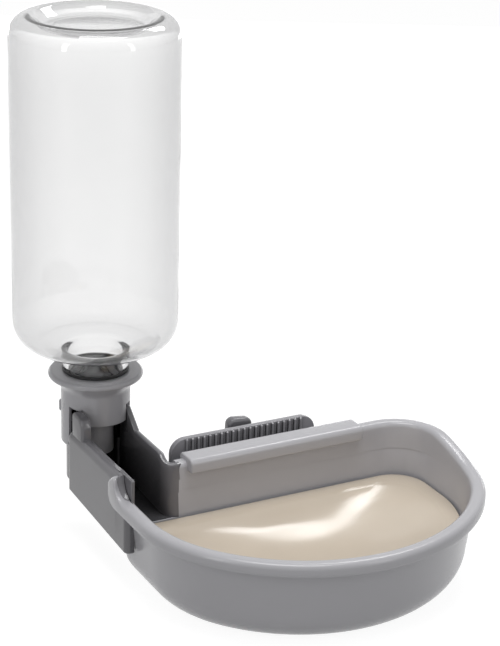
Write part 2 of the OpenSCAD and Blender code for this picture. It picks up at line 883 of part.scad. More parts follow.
// Wing nut with two flat wings
module wing_nut() {
  y0 = jaw_back + washer_t;
  mid = y0 + hub_len / 2;
  root = 5;
  color("#77767c") difference() {
    union() {
      screw_rod(y0, y0 + hub_len, hub_d / 2);
      translate([clamp_x, 0, screw_h]) rotate([0, wing_turn, 0])
        along(mid - wing_t / 2, mid + wing_t / 2)
          for (side = [-1, 1]) {
            polygon([[-root, 0], [root, 0],
                     [wing_w / 2, side * (wing_reach - 3)],
                     [-wing_w / 2, side * (wing_reach - 3)]]);
            for (x = [3 - wing_w / 2, wing_w / 2 - 3])
              translate([x, side * (wing_reach - 3)]) circle(3);
            translate([3 - wing_w / 2, side * (wing_reach - 1.5) - 1.5])
              square([wing_w - 6, 3]);
          }
    }
    screw_rod(y0 - 1, y0 + hub_len + 1, screw_r + screw_gap);
  }
}

bowl();
dish();
collar();
neck_seal();
bottle();
bracket();
clamp_screw();
jaw();
washer();
wing_nut();
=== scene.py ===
"""Small animal water bottle: a D-shaped bowl with a dish, a clear bottle that
stands upside down in a collar, and a clamp for the wires of a cage.

The file is laid out as a Blender add-on. Run as a script, it builds every
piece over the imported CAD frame. Everything is in metres, with +Z up.
"""

import bmesh
import bpy
import numpy as np
from bpy.props import FloatProperty, FloatVectorProperty, IntProperty, PointerProperty
from bpy.types import Operator, Panel, PropertyGroup
from mathutils import Matrix, Vector


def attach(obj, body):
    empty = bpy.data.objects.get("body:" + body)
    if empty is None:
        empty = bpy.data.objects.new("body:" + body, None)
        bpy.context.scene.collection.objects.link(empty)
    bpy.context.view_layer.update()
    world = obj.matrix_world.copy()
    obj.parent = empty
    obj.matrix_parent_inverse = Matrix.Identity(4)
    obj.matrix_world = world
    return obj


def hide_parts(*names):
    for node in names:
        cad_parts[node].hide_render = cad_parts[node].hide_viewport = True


bl_info = {
    "name": "Small Animal Water Bottle",
    "version": (1, 0, 0),
    "blender": (4, 5, 0),
    "location": "3D View > Sidebar > Water Bottle",
    "description": "Builds a bowl with a dish, an upturned bottle and a wire clamp",
    "category": "Add Mesh",
}

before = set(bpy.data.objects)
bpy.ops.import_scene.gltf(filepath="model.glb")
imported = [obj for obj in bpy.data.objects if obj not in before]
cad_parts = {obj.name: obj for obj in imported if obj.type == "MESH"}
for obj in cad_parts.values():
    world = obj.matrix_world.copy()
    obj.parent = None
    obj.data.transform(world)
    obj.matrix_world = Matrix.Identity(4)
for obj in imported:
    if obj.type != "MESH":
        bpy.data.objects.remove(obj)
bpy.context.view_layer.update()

MM = 0.001

# Plan of the bowl: straight sides, a flat back, and a front arc that runs
# into a smaller arc at each side, where both have the direction JOIN
BOWL_X = 9.1 * MM
HALF_W = 75.6 * MM
SIDE_R = 58 * MM
FRONT_R = 80 * MM
JOIN = (0.8, 0.6)
ARC_Y = -24.85 * MM
ARC_DX = JOIN[0] * (FRONT_R - SIDE_R)
FRONT_Y = ARC_Y + JOIN[1] * (FRONT_R - SIDE_R)
BACK_Y = 9.35 * MM
CORNER_R = 9 * MM
RIGHT_R = 20 * MM
WALL = 2.4 * MM
LEAN = 3 * MM
BOWL_H = 42 * MM

# Trough: faces of its near and far walls, where it starts at the bowl, its
# near wall's ends, its tops, its floor's slope and the bottle's upright axis.
# The near wall is thinner in front, as far as NEAR_STEP
NEAR_OUT = -68.9 * MM
NEAR_STEP = -64.9 * MM
NEAR_IN = -63.3 * MM
FAR_IN = -42.7 * MM
FAR_OUT = -40.1 * MM
CHANNEL_X = -36.7 * MM
CHANNEL_Y = -4 * MM
PANEL_FRONT = -9.75 * MM
PANEL_BACK = 52.65 * MM
TROUGH_H = 51 * MM
SEAT_Z = 53 * MM
SLOPE = 3 / 49.9
TOWER = (-52.3 * MM, 59.25 * MM)

# How far a small piece stands proud of a wall, or lies in it, so that no two
# faces share a plane
PROUD = 0.03 * MM
SUNK = 0.05 * MM

# Clamp screw's axis
CLAMP_X = 2.9 * MM
SCREW_Z = 32 * MM

# Camera that sees the object as the photograph does, solved from its edges:
# place, heading, downward pitch and roll in degrees, and focal length
CAMERA_PLACE = (-0.3731, -0.67425, 0.4088)
CAMERA_TURN = (28.48, 21.25, 1.67)
CAMERA_LENS = 140.48

# Soft lights: place, target, width, height and share of the key light's power
BOWL_MIDDLE = (0.0, -0.03, 0.03)
BOTTLE_MIDDLE = (-0.05, 0.06, 0.13)
LIGHTS = {
    "top_soft_box": ((-0.05, -0.1, 0.78), BOWL_MIDDLE, 0.4, 0.3, 1.0),
    "back_soft_box": ((0.5, 0.95, 0.08), BOWL_MIDDLE, 1.5, 0.16, 0.7),
    "dish_soft_box": ((0.333, 0.259, 0.577), (0.01, -0.012, 0.018), 0.2, 0.15, 0.35),
    "left_strip": ((-0.7, -0.27, 0.4), BOTTLE_MIDDLE, 0.1, 0.6, 0.32),
    "right_strip": ((0.29, -0.66, 0.4), BOTTLE_MIDDLE, 0.1, 0.6, 0.22),
}


def line(start, end, steps):
    """Points at even steps on a straight line, without its end."""
    share = np.linspace(0.0, 1.0, steps, endpoint=False)[:, None]
    return np.asarray(start) * (1 - share) + np.asarray(end) * share


def arc(centre, radius, start, end, steps, last=False):
    """Points on a circle: the centre plus the radius times the cosine and
    sine of an angle that runs evenly from start to end, in degrees."""
    angle = np.radians(np.linspace(start, end, steps, endpoint=last))
    return np.column_stack((centre[0] + radius * np.cos(angle),
                            centre[1] + radius * np.sin(angle)))


def smooth_step(value, low, high):
    """0 below low, 1 above high, and 3t^2 - 2t^3 between them."""
    t = np.clip((value - low) / (high - low), 0.0, 1.0)
    return t * t * (3 - 2 * t)


def rounded(corners, radii, steps=7):
    """Outline with round corners: each corner is replaced by the arc of its
    radius that touches both of its sides."""
    corners = np.asarray(corners, float)
    parts = []
    for i, radius in enumerate(radii):
        point = corners[i]
        back = corners[i - 1] - point
        ahead = corners[(i + 1) % len(corners)] - point
        back /= np.linalg.norm(back)
        ahead /= np.linalg.norm(ahead)
        half = np.arccos(np.clip(back @ ahead, -1, 1)) / 2
        middle = (back + ahead) / np.linalg.norm(back + ahead)
        centre = point + middle * radius / np.sin(half)
        first = point + back * radius / np.tan(half) - centre
        final = point + ahead * radius / np.tan(half) - centre
        turn = np.arctan2(first[0] * final[1] - first[1] * final[0], first @ final)
        angle = np.linspace(0, turn, steps)[:, None]
        side = np.array([-first[1], first[0]])
        parts.append(centre + first * np.cos(angle) + side * np.sin(angle))
    return np.concatenate(parts)


def moved_in(outline, distance):
    """Outline moved in by a distance, which may differ from point to point.
    A point moves along the mean of its two sides' normals, by the distance
    over the cosine of half the angle between them."""
    before = outline - np.roll(outline, 1, axis=0)
    after = np.roll(outline, -1, axis=0) - outline
    before /= np.linalg.norm(before, axis=1)[:, None]
    after /= np.linalg.norm(after, axis=1)[:, None]
    normal = np.column_stack((-before[:, 1], before[:, 0]))
    mean = normal + np.column_stack((-after[:, 1], after[:, 0]))
    mean /= np.linalg.norm(mean, axis=1)[:, None]
    cosine = np.clip((mean * normal).sum(axis=1), 0.5, 1.0)
    return outline + mean * (distance / cosine)[:, None]


def loft(rings, capped=True, closed=True):
    """Skin over rings of points. Point j of ring i is joined to point j of
    ring i + 1. capped closes the first and the last ring with a flat face,
    and closed joins each ring's end to its start."""
    rings = np.asarray(rings, float)
    rows, columns = rings.shape[:2]
    grid = np.arange(rows * columns).reshape(rows, columns)
    if closed:
        grid = np.column_stack((grid, grid[:, :1]))
    quads = np.stack((grid[:-1, :-1], grid[:-1, 1:], grid[1:, 1:], grid[1:, :-1]),
                     axis=-1)
    faces = quads.reshape(-1, 4).tolist()
    if capped:
        faces.append(list(range(columns))[::-1])
        faces.append(list(range((rows - 1) * columns, rows * columns)))
    return rings.reshape(-1, 3), faces


def along_axis(outline, depth, axis):
    """3-D points of an outline at a depth along the named axis."""
    depth = np.broadcast_to(depth, len(outline))
    order = {"x": (depth, outline[:, 0], outline[:, 1]),
             "y": (outline[:, 0], depth, outline[:, 1]),
             "z": (outline[:, 0], outline[:, 1], depth)}
    return np.column_stack(order[axis])


def slab(outline, low, high, edge, axis, steps=5):
    """Plate with round edges: an outline carried along an axis from low to
    high. Within edge of each end it is moved in by edge * (1 - cos a), while
    its depth changes by edge * (1 - sin a). edge is one radius for both
    ends, or a pair."""
    first, second = edge if isinstance(edge, tuple) else (edge, edge)
    turns = np.linspace(0, np.pi / 2, steps)
    rings = []
    for end, radius, angles in ((low, first, turns), (high, -second, turns[::-1])):
        for a in angles:
            inset = abs(radius) * (1 - np.sin(a))
            depth = end + radius * (1 - np.cos(a))
            rings.append(along_axis(moved_in(outline, inset), depth, axis))
    return loft(rings)


def lathe(profile, centre, axis="z", steps=128, closed=True):
    """Profile of radius and height, turned about an axis: across the axis a
    point lies at the centre plus its radius times cosine and sine. closed
    joins the profile's last row to its first."""
    profile = np.asarray(profile, float)
    if closed:
        profile = np.vstack((profile, profile[:1]))
    angle = np.linspace(0, 2 * np.pi, steps, endpoint=False)
    across = centre[0] + profile[:, :1] * np.cos(angle)
    up = centre[1] + profile[:, :1] * np.sin(angle)
    height = np.broadcast_to(profile[:, 1:2], across.shape)
    order = {"z": (across, up, height), "y": (across, height, up)}
    return loft(np.stack(order[axis], axis=-1), capped=False)


def solid(name, shells, body, material, nodes, sharp=35):
    """One object from closed skins. Their points and faces go into one mesh,
    doubled points are merged and faces are turned outwards. Edges that are
    sharper than the given angle stay sharp."""
    points = []
    faces = []
    count = 0
    for skin_points, skin_faces in shells:
        points.append(skin_points)
        faces.extend([[v + count for v in face] for face in skin_faces])
        count += len(skin_points)
    mesh = bpy.data.meshes.new(name)
    mesh.from_pydata(np.concatenate(points).tolist(), [], faces)
    work = bmesh.new()
    work.from_mesh(mesh)
    bmesh.ops.remove_doubles(work, verts=work.verts, dist=2e-6)
    bmesh.ops.dissolve_degenerate(work, edges=work.edges, dist=1e-6)
    bmesh.ops.recalc_face_normals(work, faces=work.faces)
    work.to_mesh(mesh)
    work.free()
    mesh.polygons.foreach_set("use_smooth", np.ones(len(mesh.polygons), bool))
    mesh.set_sharp_from_angle(angle=np.radians(sharp))
    mesh.materials.append(material)
    piece = bpy.data.objects.new(name, mesh)
    bpy.context.scene.collection.objects.link(piece)
    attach(piece, body)
    if nodes:
        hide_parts(*nodes)
    return piece


# Points on each stretch of the bowl's plan: the left side at the trough, its
# lower end, the rest of the side, side arc, front arc, side arc, right side,
# right corner, back, its left end, the back at the trough and the left corner
STRETCHES = (5, 1, 12, 30, 90, 30, 18, 18, 90, 1, 8, 14)
COUNTS = np.cumsum([0, *STRETCHES])

# How far each point of the plan belongs to the back: 0 on the sides and the
# front, 1 on the back, and a smooth step over each corner
BACK_SHARE = np.zeros(COUNTS[-1])
BACK_SHARE[COUNTS[8]:COUNTS[11]] = 1
BACK_SHARE[COUNTS[7]:COUNTS[8]] = smooth_step(np.linspace(0, 1, STRETCHES[7]), 0, 1)
BACK_SHARE[COUNTS[11]:] = smooth_step(np.linspace(1, 0, STRETCHES[11]), 0, 1)
AT_TROUGH = np.zeros(COUNTS[-1], bool)
AT_TROUGH[:COUNTS[1] + 1] = True
AT_TROUGH[COUNTS[10]:] = True


def bowl_outline(inset=0.0, back_inset=None, corner=None):
    """Plan of the bowl moved in by inset at the front and sides, and by
    back_inset at the back: a left side, a side arc, the front arc, a side
    arc, a right side, a round corner, the back and a round corner. corner is
    the left corner's radius, and the right one is wider. Two points lie on
    each other where the trough starts, on the left side and on the back."""
    back_inset = inset if back_inset is None else back_inset
    corner = CORNER_R - inset if corner is None else corner
    left = BOWL_X - HALF_W + inset
    right = BOWL_X + HALF_W - inset
    back = BACK_Y - back_inset
    wide = corner + RIGHT_R - CORNER_R
    tilt = np.degrees(np.arctan2(JOIN[1], JOIN[0]))
    split_x = max(CHANNEL_X, left + corner)
    split_y = min(CHANNEL_Y, back - corner)
    count = STRETCHES
    parts = [
        line((left, back - corner), (left, split_y), count[0]),
        [(left, split_y)],
        line((left, split_y), (left, ARC_Y), count[2]),
        arc((BOWL_X - ARC_DX, ARC_Y), SIDE_R - inset, 180, 180 + tilt, count[3]),
        arc((BOWL_X, FRONT_Y), FRONT_R - inset, 180 + tilt, 360 - tilt, count[4]),
        arc((BOWL_X + ARC_DX, ARC_Y), SIDE_R - inset, 360 - tilt, 360, count[5]),
        line((right, ARC_Y), (right, back - wide), count[6]),
        arc((right - wide, back - wide), wide, 0, 90, count[7]),
        line((right - wide, back), (split_x, back), count[8]),
        [(split_x, back)],
        line((split_x, back), (left + corner, back), count[10]),
        arc((left + corner, back - corner), corner, 90, 180, count[11]),
    ]
    return np.concatenate(parts)


def bowl_ring(side, back, corner):
    """Ring round the bowl. side and back are an inset and a height, for the
    sides and for the back, and over the corners the height runs smoothly
    from one to the other."""
    plan = bowl_outline(side[0], back[0], corner)
    height = side[1] * (1 - BACK_SHARE) + back[1] * BACK_SHARE
    return np.column_stack((plan, height))


def wall_rings():
    """Two lists of rings of the bowl's wall and floor: from the top of the
    outer face down and in under the floor, and from the floor's upper face
    out and up to the inner face's top. The wall leans in by LEAN towards the
    base, which has a round edge, wider at the front than at the back. Where
    the trough starts, the wall stops at the sill, under the channel's floor."""
    foot = 1.2 * MM
    sill = 23 * MM
    back_shift = 9

    def wall(inset, z, lows, top, corner, out=0.0):
        """Ring of a leaning wall. Its inset grows by LEAN times the share of
        the way from top down to low, which differs at the back."""
        sides = [(inset + LEAN * (top - z) / (top - low) + out, z) for low in lows]
        return bowl_ring(*sides, corner)

    def cut_wall(inset, z, lows, top, corner):
        """Ring of a wall that drops to the sill where the trough starts."""
        low = wall(inset, sill, lows, top, corner)
        return np.where(AT_TROUGH[:, None], low, wall(inset, z, lows, top, corner))

    def round_edge(inset, base, radii, corner, turns):
        """Rings of a quarter circle between a wall and a floor, at the angles
        turns: inset plus r times 1 - cos, and base plus r times 1 - sin."""
        return [bowl_ring(*[(inset + r * (1 - np.cos(a)), base + r * (1 - np.sin(a)))
                            for r in radii], corner) for a in np.radians(turns)]

    def flat(inset, z):
        """Ring in or under the floor, nearer to the wall at the back."""
        return bowl_ring((inset * MM, z), ((inset - back_shift) * MM, z), CORNER_R - LEAN)

    radii = np.array([14, 5]) * MM
    under = [cut_wall(0, z * MM, foot + radii, 40 * MM, CORNER_R - LEAN / 2)
             for z in (40, 36, 32, 28)]
    under += round_edge(LEAN, foot, radii, CORNER_R - LEAN, np.linspace(0, 90, 12))
    under += [flat(inset, z * MM) for inset, z in (
        (18, 1.2), (18.1, 0.4), (18.6, 0), (19.8, 0), (20.3, 0.4), (20.4, 1.2), (26, 1.2))]
    base = foot + WALL
    inner = WALL + LEAN
    radii = radii - WALL
    inside = [flat(inset, base) for inset in (26, 18)]
    inside += round_edge(inner, base, radii, CORNER_R - inner, np.linspace(90, 0, 12))
    inside += [wall(WALL, z * MM, base + radii, BOWL_H, CORNER_R - inner, out * MM)
               for z, out in ((19.4, 0), (19.8, 2.4), (21.4, 2.4), (21.6, 0))]
    inside += [cut_wall(WALL, z * MM, base + radii, BOWL_H, CORNER_R - WALL - 1 * MM)
               for z in (28, 32, 36, 40)]
    return under, inside


def rim_section():
    """Section of the rolled rim: distance out from the wall's face, height,
    and how far the point goes up with the raised back."""
    rows = [(-3.12, 35.4, 0), (-2.9, 37.5, 0.3), (-2.74, 39.4, 1)]
    for a in np.radians(np.linspace(180, 90, 9)):
        rows.append((-0.3 + 2.4 * np.cos(a), 39.6 + 2.4 * np.sin(a), 1))
    for a in np.radians(np.linspace(90, 0, 9)):
        rows.append((1.5 + 2.4 * np.cos(a), 39.6 + 2.4 * np.sin(a), 1))
    rows += [(3.9, 38.2, 0.5), (3.9, 37.1, 0), (3.75, 36.75, 0), (3.4, 36.6, 0),
             (2.8, 36.6, 0), (2.45, 36.75, 0), (2.3, 37.1, 0), (2.3, 39.8, 1),
             (1.8, 40.4, 1), (0.4, 40.4, 1), (-0.2, 40, 1), (-0.6, 35.4, 0)]
    return np.array(rows) * (MM, MM, 1)


def curl(x, y):
    """Share, 0 to 1, by which the rim's top has risen to the height of the
    near wall: a quarter circle in y. It starts at y = -3 mm at the wall's
    inner face, and earlier than that further out, by up to 6 mm."""
    length, width, early = 8 * MM, 7 * MM, 6 * MM
    outward = np.clip((NEAR_IN - x) / width, 0, 1)
    s = np.clip((y + 3 * MM + early * outward) / length, 0, 1)
    return 1 - np.sqrt(1 - s ** 2)


def rim_shell(rise):
    """The rim's section carried round the plan, from the trough's near side
    to its far side. Each section point runs along the plan moved out by its
    distance. Its height grows by the rise along the back, which fades out
    along the right side. Beside the near wall the top curls up and bends over
    the wall's round edge in a quarter circle, and the end closes in a half
    ellipse towards its middle height. Where the channel starts, the section's
    inner points move back a little, into the wall."""
    tip = np.linspace(7, 0.5, 34)[:, None] * MM
    tip_start, tip_length = -1 * MM, 8.1 * MM
    middle, curl_rise = 43 * MM, 9 * MM
    bend_z, bend_r = 47.4 * MM, 5.1 * MM
    outer, inner = 3.9 * MM, 2.3 * MM
    lines = []
    for out, height, share in rim_section():
        plan = bowl_outline(-out, -out, CORNER_R + out)[:COUNTS[10] + 1]
        start = np.hstack((np.full_like(tip, plan[0, 0]), tip))
        x, y = np.vstack((start, plan)).T
        at_left = np.arange(len(x)) < COUNTS[4] + len(tip)
        if out < 0:
            at_channel = smooth_step(-x, 34 * MM, -CHANNEL_X) * (x > -40 * MM)
            y = y + 0.8 * MM * at_channel * (y > 5 * MM)
        lift = rise * smooth_step(y, -40 * MM, -8 * MM)
        ramp = curl_rise * smooth_step(out, -0.6 * MM, 1.2 * MM)
        lift = np.where(at_left, ramp * curl(x, y), lift)
        z = height + share * lift
        close = np.sqrt(1 - np.clip((y - tip_start) / tip_length, 0, 1) ** 2)
        close = np.where(at_left, close, 1.0)
        z = middle * (1 - close) + z * close
        over = np.clip(z - bend_z, 0, 3.6 * MM)
        bend = bend_r - np.sqrt(bend_r ** 2 - over ** 2)
        x = x + np.where(at_left & (out > 0), bend * out / outer, 0)
        x = np.where(at_left & (out > inner), x + (out - inner) * (1 - np.sqrt(close)), x)
        lines.append(np.column_stack((x, y, z)))
    return loft(np.stack(lines, axis=1))


class BowlSettings(PropertyGroup):
    """Colour of the grey plastic, and sizes of the bowl and its ears."""

    colour: FloatVectorProperty(
        name="Plastic", description="Colour of the bowl, the collar and the clamp",
        subtype="COLOR", size=3, min=0, max=1, default=(0.175, 0.172, 0.184))
    back_rise: FloatProperty(
        name="Back rise", description="How far the rim is raised along the back",
        default=5.6 * MM, unit="LENGTH")
    ear_edge: FloatProperty(
        name="Ear edge", description="Edge radius of the ears beside the collar",
        default=1.5 * MM, unit="LENGTH")


class DishSettings(PropertyGroup):
    """Sizes and colour of the dish."""

    colour: FloatVectorProperty(
        name="Dish", description="Colour of the dish", subtype="COLOR", size=3,
        min=0, max=1, default=(0.66, 0.575, 0.47))
    depth: FloatProperty(
        name="Depth", description="Depth of the dish below its border",
        default=10 * MM, unit="LENGTH")
    border: FloatProperty(
        name="Border", description="Width of the dish's flat border",
        default=6.8 * MM, unit="LENGTH")


class BottleSettings(PropertyGroup):
    """Sizes and colour of the bottle."""

    colour: FloatVectorProperty(
        name="Clear plastic", description="Tint of the clear plastic",
        subtype="COLOR", size=3, min=0, max=1, default=(0.88, 0.88, 0.88))
    wall: FloatProperty(
        name="Wall", description="Wall thickness of the bottle",
        default=0.6 * MM, unit="LENGTH")
    thread_pitch: FloatProperty(
        name="Thread pitch", description="Rise of the neck's thread in one turn",
        default=3 * MM, unit="LENGTH")
    thread_depth: FloatProperty(
        name="Thread depth", description="Depth of the neck's thread",
        default=0.9 * MM, unit="LENGTH")


class ClampSettings(PropertyGroup):
    """Sizes and colour of the clamp."""

    nut_colour: FloatVectorProperty(
        name="Wing nut", description="Colour of the wing nut", subtype="COLOR",
        size=3, min=0, max=1, default=(0.16, 0.158, 0.17))
    ribs: IntProperty(
        name="Ribs", description="Ribs on each half of the jaw", default=10, min=0)
    rib_pitch: FloatProperty(
        name="Rib spacing", description="Spacing of the ribs on the jaw",
        default=2.85 * MM, unit="LENGTH")


class StudioSettings(PropertyGroup):
    """Light and background."""

    fill: FloatProperty(
        name="Fill light", description="Strength of the even light from all round",
        default=0.24, min=0)
    key: FloatProperty(
        name="Soft boxes", description="Power of the large soft box", default=2.8,
        min=0, unit="POWER")


def surface_group():
    """Node group for moulded surfaces: cloudy colour with painted shade in narrow
    gaps, uneven gloss and the height of slight waves and fine marks. Colour is
    the colour times one plus the mottle times a noise. In narrow gaps, where
    less of the sky is open than the painted shade level, shade is painted into
    the colour: it gets darker, down to the darkest shade where the open share
    is a fade's width below the level. Roughness is the mean plus its spread
    times the noise, and height is a wide and a fine noise."""
    fade, darkest = 0.45, 0.04
    group = bpy.data.node_groups.new("Moulded Surface", "ShaderNodeTree")
    for name, kind, value in (("Colour", "NodeSocketColor", (0.5, 0.5, 0.5, 1)),
                              ("Mottle", "NodeSocketFloat", 0.04),
                              ("Mottle Scale", "NodeSocketFloat", 60.0),
                              ("Roughness", "NodeSocketFloat", 0.2),
                              ("Roughness Spread", "NodeSocketFloat", 0.05),
                              ("Wave", "NodeSocketFloat", 0.3),
                              ("Grain", "NodeSocketFloat", 0.05),
                              ("Painted Shade Reach", "NodeSocketFloat", 0.03),
                              ("Painted Shade Level", "NodeSocketFloat", 0.35)):
        socket = group.interface.new_socket(name, in_out="INPUT", socket_type=kind)
        socket.default_value = value
    for name, kind in (("Colour", "NodeSocketColor"), ("Roughness", "NodeSocketFloat"),
                       ("Height", "NodeSocketFloat")):
        group.interface.new_socket(name, in_out="OUTPUT", socket_type=kind)
    nodes, links = group.nodes, group.links
    start = nodes.new("NodeGroupInput")
    end = nodes.new("NodeGroupOutput")
    coords = nodes.new("ShaderNodeTexCoord")

    def noise(scale, detail):
        """Noise over the object's own coordinates."""
        node = nodes.new("ShaderNodeTexNoise")
        node.inputs["Scale"].default_value = scale
        node.inputs["Detail"].default_value = detail
        links.new(coords.outputs["Object"], node.inputs["Vector"])
        return node

    def maths(operation, first, second):
        """One arithmetic node; each side is a socket or a number."""
        node = nodes.new("ShaderNodeMath")
        node.operation = operation
        for i, value in enumerate((first, second)):
            if isinstance(value, (int, float)):
                node.inputs[i].default_value = value
            else:
                links.new(value, node.inputs[i])
        return node.outputs[0]

    cloud = noise(60, 3)
    links.new(start.outputs["Mottle Scale"], cloud.inputs["Scale"])
    fine = noise(900, 2)
    swell = noise(45, 1)
    shade = maths("MULTIPLY", maths("SUBTRACT", cloud.outputs["Fac"], 0.5), 2.0)
    shade = maths("ADD", maths("MULTIPLY", shade, start.outputs["Mottle"]), 1.0)
    # Painted shade: the colour is made darker in narrow gaps, where little of the sky is
    # open.
    sky = nodes.new("ShaderNodeAmbientOcclusion")
    sky.samples = 8
    links.new(start.outputs["Painted Shade Reach"], sky.inputs["Distance"])
    gap_shade_map = nodes.new("ShaderNodeMapRange")
    gap_shade_map.inputs["To Min"].default_value = darkest
    links.new(maths("SUBTRACT", start.outputs["Painted Shade Level"], fade), gap_shade_map.inputs["From Min"])
    links.new(start.outputs["Painted Shade Level"], gap_shade_map.inputs["From Max"])
    links.new(sky.outputs["AO"], gap_shade_map.inputs["Value"])
    shade = maths("MULTIPLY", shade, gap_shade_map.outputs["Result"])
    tint = nodes.new("ShaderNodeVectorMath")
    tint.operation = "SCALE"
    links.new(start.outputs["Colour"], tint.inputs[0])
    links.new(shade, tint.inputs["Scale"])
    links.new(tint.outputs[0], end.inputs["Colour"])
    rough = maths("MULTIPLY", maths("SUBTRACT", cloud.outputs["Fac"], 0.5),
                  start.outputs["Roughness Spread"])
    links.new(maths("ADD", rough, start.outputs["Roughness"]), end.inputs["Roughness"])
    wave = maths("MULTIPLY", swell.outputs["Fac"], start.outputs["Wave"])
    grain = maths("MULTIPLY", fine.outputs["Fac"], start.outputs["Grain"])
    links.new(maths("ADD", wave, grain), end.inputs["Height"])
    return group


def surface_material(name, colour, bump, values):
    """New material with the shared surface group, whose inputs take the
    values by name. The group's roughness and height feed the shader. Returned
    with its shader and the group's node, for the colour's link."""
    material = bpy.data.materials.new(name)
    material.use_nodes = True
    nodes, links = material.node_tree.nodes, material.node_tree.links
    shader = nodes["Principled BSDF"]
    surface = nodes.new("ShaderNodeGroup")
    surface.node_tree = bpy.data.node_groups.get("Moulded Surface") or surface_group()
    surface.inputs["Colour"].default_value = (*colour, 1)
    for socket, value in values.items():
        surface.inputs[socket].default_value = value
    relief = nodes.new("ShaderNodeBump")
    relief.inputs["Strength"].default_value = bump
    relief.inputs["Distance"].default_value = 0.5 * MM
    links.new(surface.outputs["Roughness"], shader.inputs["Roughness"])
    links.new(surface.outputs["Height"], relief.inputs["Height"])
    links.new(relief.outputs["Normal"], shader.inputs["Normal"])
    return material, shader, surface


def moulded_material(name, colour, mottle=0.04, scale=60.0, roughness=0.2, spread=0.06,
                     wave=0.3, grain=0.05, bump=0.1, metallic=0.0, gap_painted_shade=(0.03, 0.35)):
    """Material of one moulded or cast finish. Its last argument is how far in
    metres, and below which open share of the sky, a narrow gap gets painted
    shade: a darker colour."""
    material, shader, surface = surface_material(name, colour, bump, {
        "Mottle": mottle, "Mottle Scale": scale, "Roughness": roughness,
        "Roughness Spread": spread, "Wave": wave, "Grain": grain,
        "Painted Shade Reach": gap_painted_shade[0], "Painted Shade Level": gap_painted_shade[1]})
    material.node_tree.links.new(surface.outputs["Colour"], shader.inputs["Base Color"])
    shader.inputs["Metallic"].default_value = metallic
    return material


def clear_material(name, colour):
    """Clear plastic: full transmission, with a darker tint where the wall is
    seen edge on, and slight waves from the blow mould."""
    # A painted shade level of 0 leaves the clear plastic without painted gap shade.
    material, shader, surface = surface_material(name, colour, 0.15, {
        "Mottle": 0.01, "Roughness": 0.02, "Roughness Spread": 0.01, "Wave": 1.0,
        "Grain": 0.0, "Painted Shade Level": 0.0})
    nodes, links = material.node_tree.nodes, material.node_tree.links
    shader.inputs["Transmission Weight"].default_value = 1.0
    shader.inputs["IOR"].default_value = 1.5
    facing = nodes.new("ShaderNodeLayerWeight")
    facing.inputs["Blend"].default_value = 0.5
    ramp = nodes.new("ShaderNodeValToRGB")
    stops = ramp.color_ramp.elements
    for stop, place, shade in zip(stops, (0.1, 1.0), ((1, 1, 1, 1), (0.62, 0.62, 0.63, 1))):
        stop.position = place
        stop.color = shade
    tint = nodes.new("ShaderNodeMix")
    tint.data_type = "RGBA"
    tint.blend_type = "MULTIPLY"
    tint.inputs["Factor"].default_value = 1.0
    links.new(facing.outputs["Facing"], ramp.inputs["Fac"])
    links.new(surface.outputs["Colour"], tint.inputs["A"])
    links.new(ramp.outputs["Color"], tint.inputs["B"])
    links.new(tint.outputs["Result"], shader.inputs["Base Color"])
    return material


def grey_plastic(name="grey_plastic", gap_painted_shade=(0.03, 0.35), light=1.0):
    """The bowl's glossy grey plastic, built once for each kind of painted gap
    shade. light makes a part's colour lighter: painted light, for a thin part
    that catches more light."""
    # Painted light: light scales the colour up for a part that catches more light.
    colour = [light * c for c in bpy.context.scene.bottle_bowl.colour]
    return bpy.data.materials.get(name) or moulded_material(
        name, colour, mottle=0.05, roughness=0.11, spread=0.05,
        wave=0.6, grain=0.06, bump=0.12, gap_painted_shade=gap_painted_shade)


class BOTTLE_OT_bowl(Operator):
    """Build the bowl's wall, floor, foot ring and rolled rim"""

    bl_idname = "water_bottle.bowl"
    bl_label = "Bowl"

    def execute(self, context):
        under, inside = wall_rings()
        skin = loft([*under, *inside, under[0]], capped=False)
        floor = loft([under[-1], inside[0]])
        shells = [skin, floor, rim_shell(context.scene.bottle_bowl.back_rise)]
        solid("bowl_shell", shells, "bowl_body", grey_plastic(), ["bowl"])
        return {"FINISHED"}


def trough_slope(y, height):
    """Height at y of a face that slopes as the trough's floor does, from its
    height at the bowl's back wall."""
    return height + (y - BACK_Y) * SLOPE


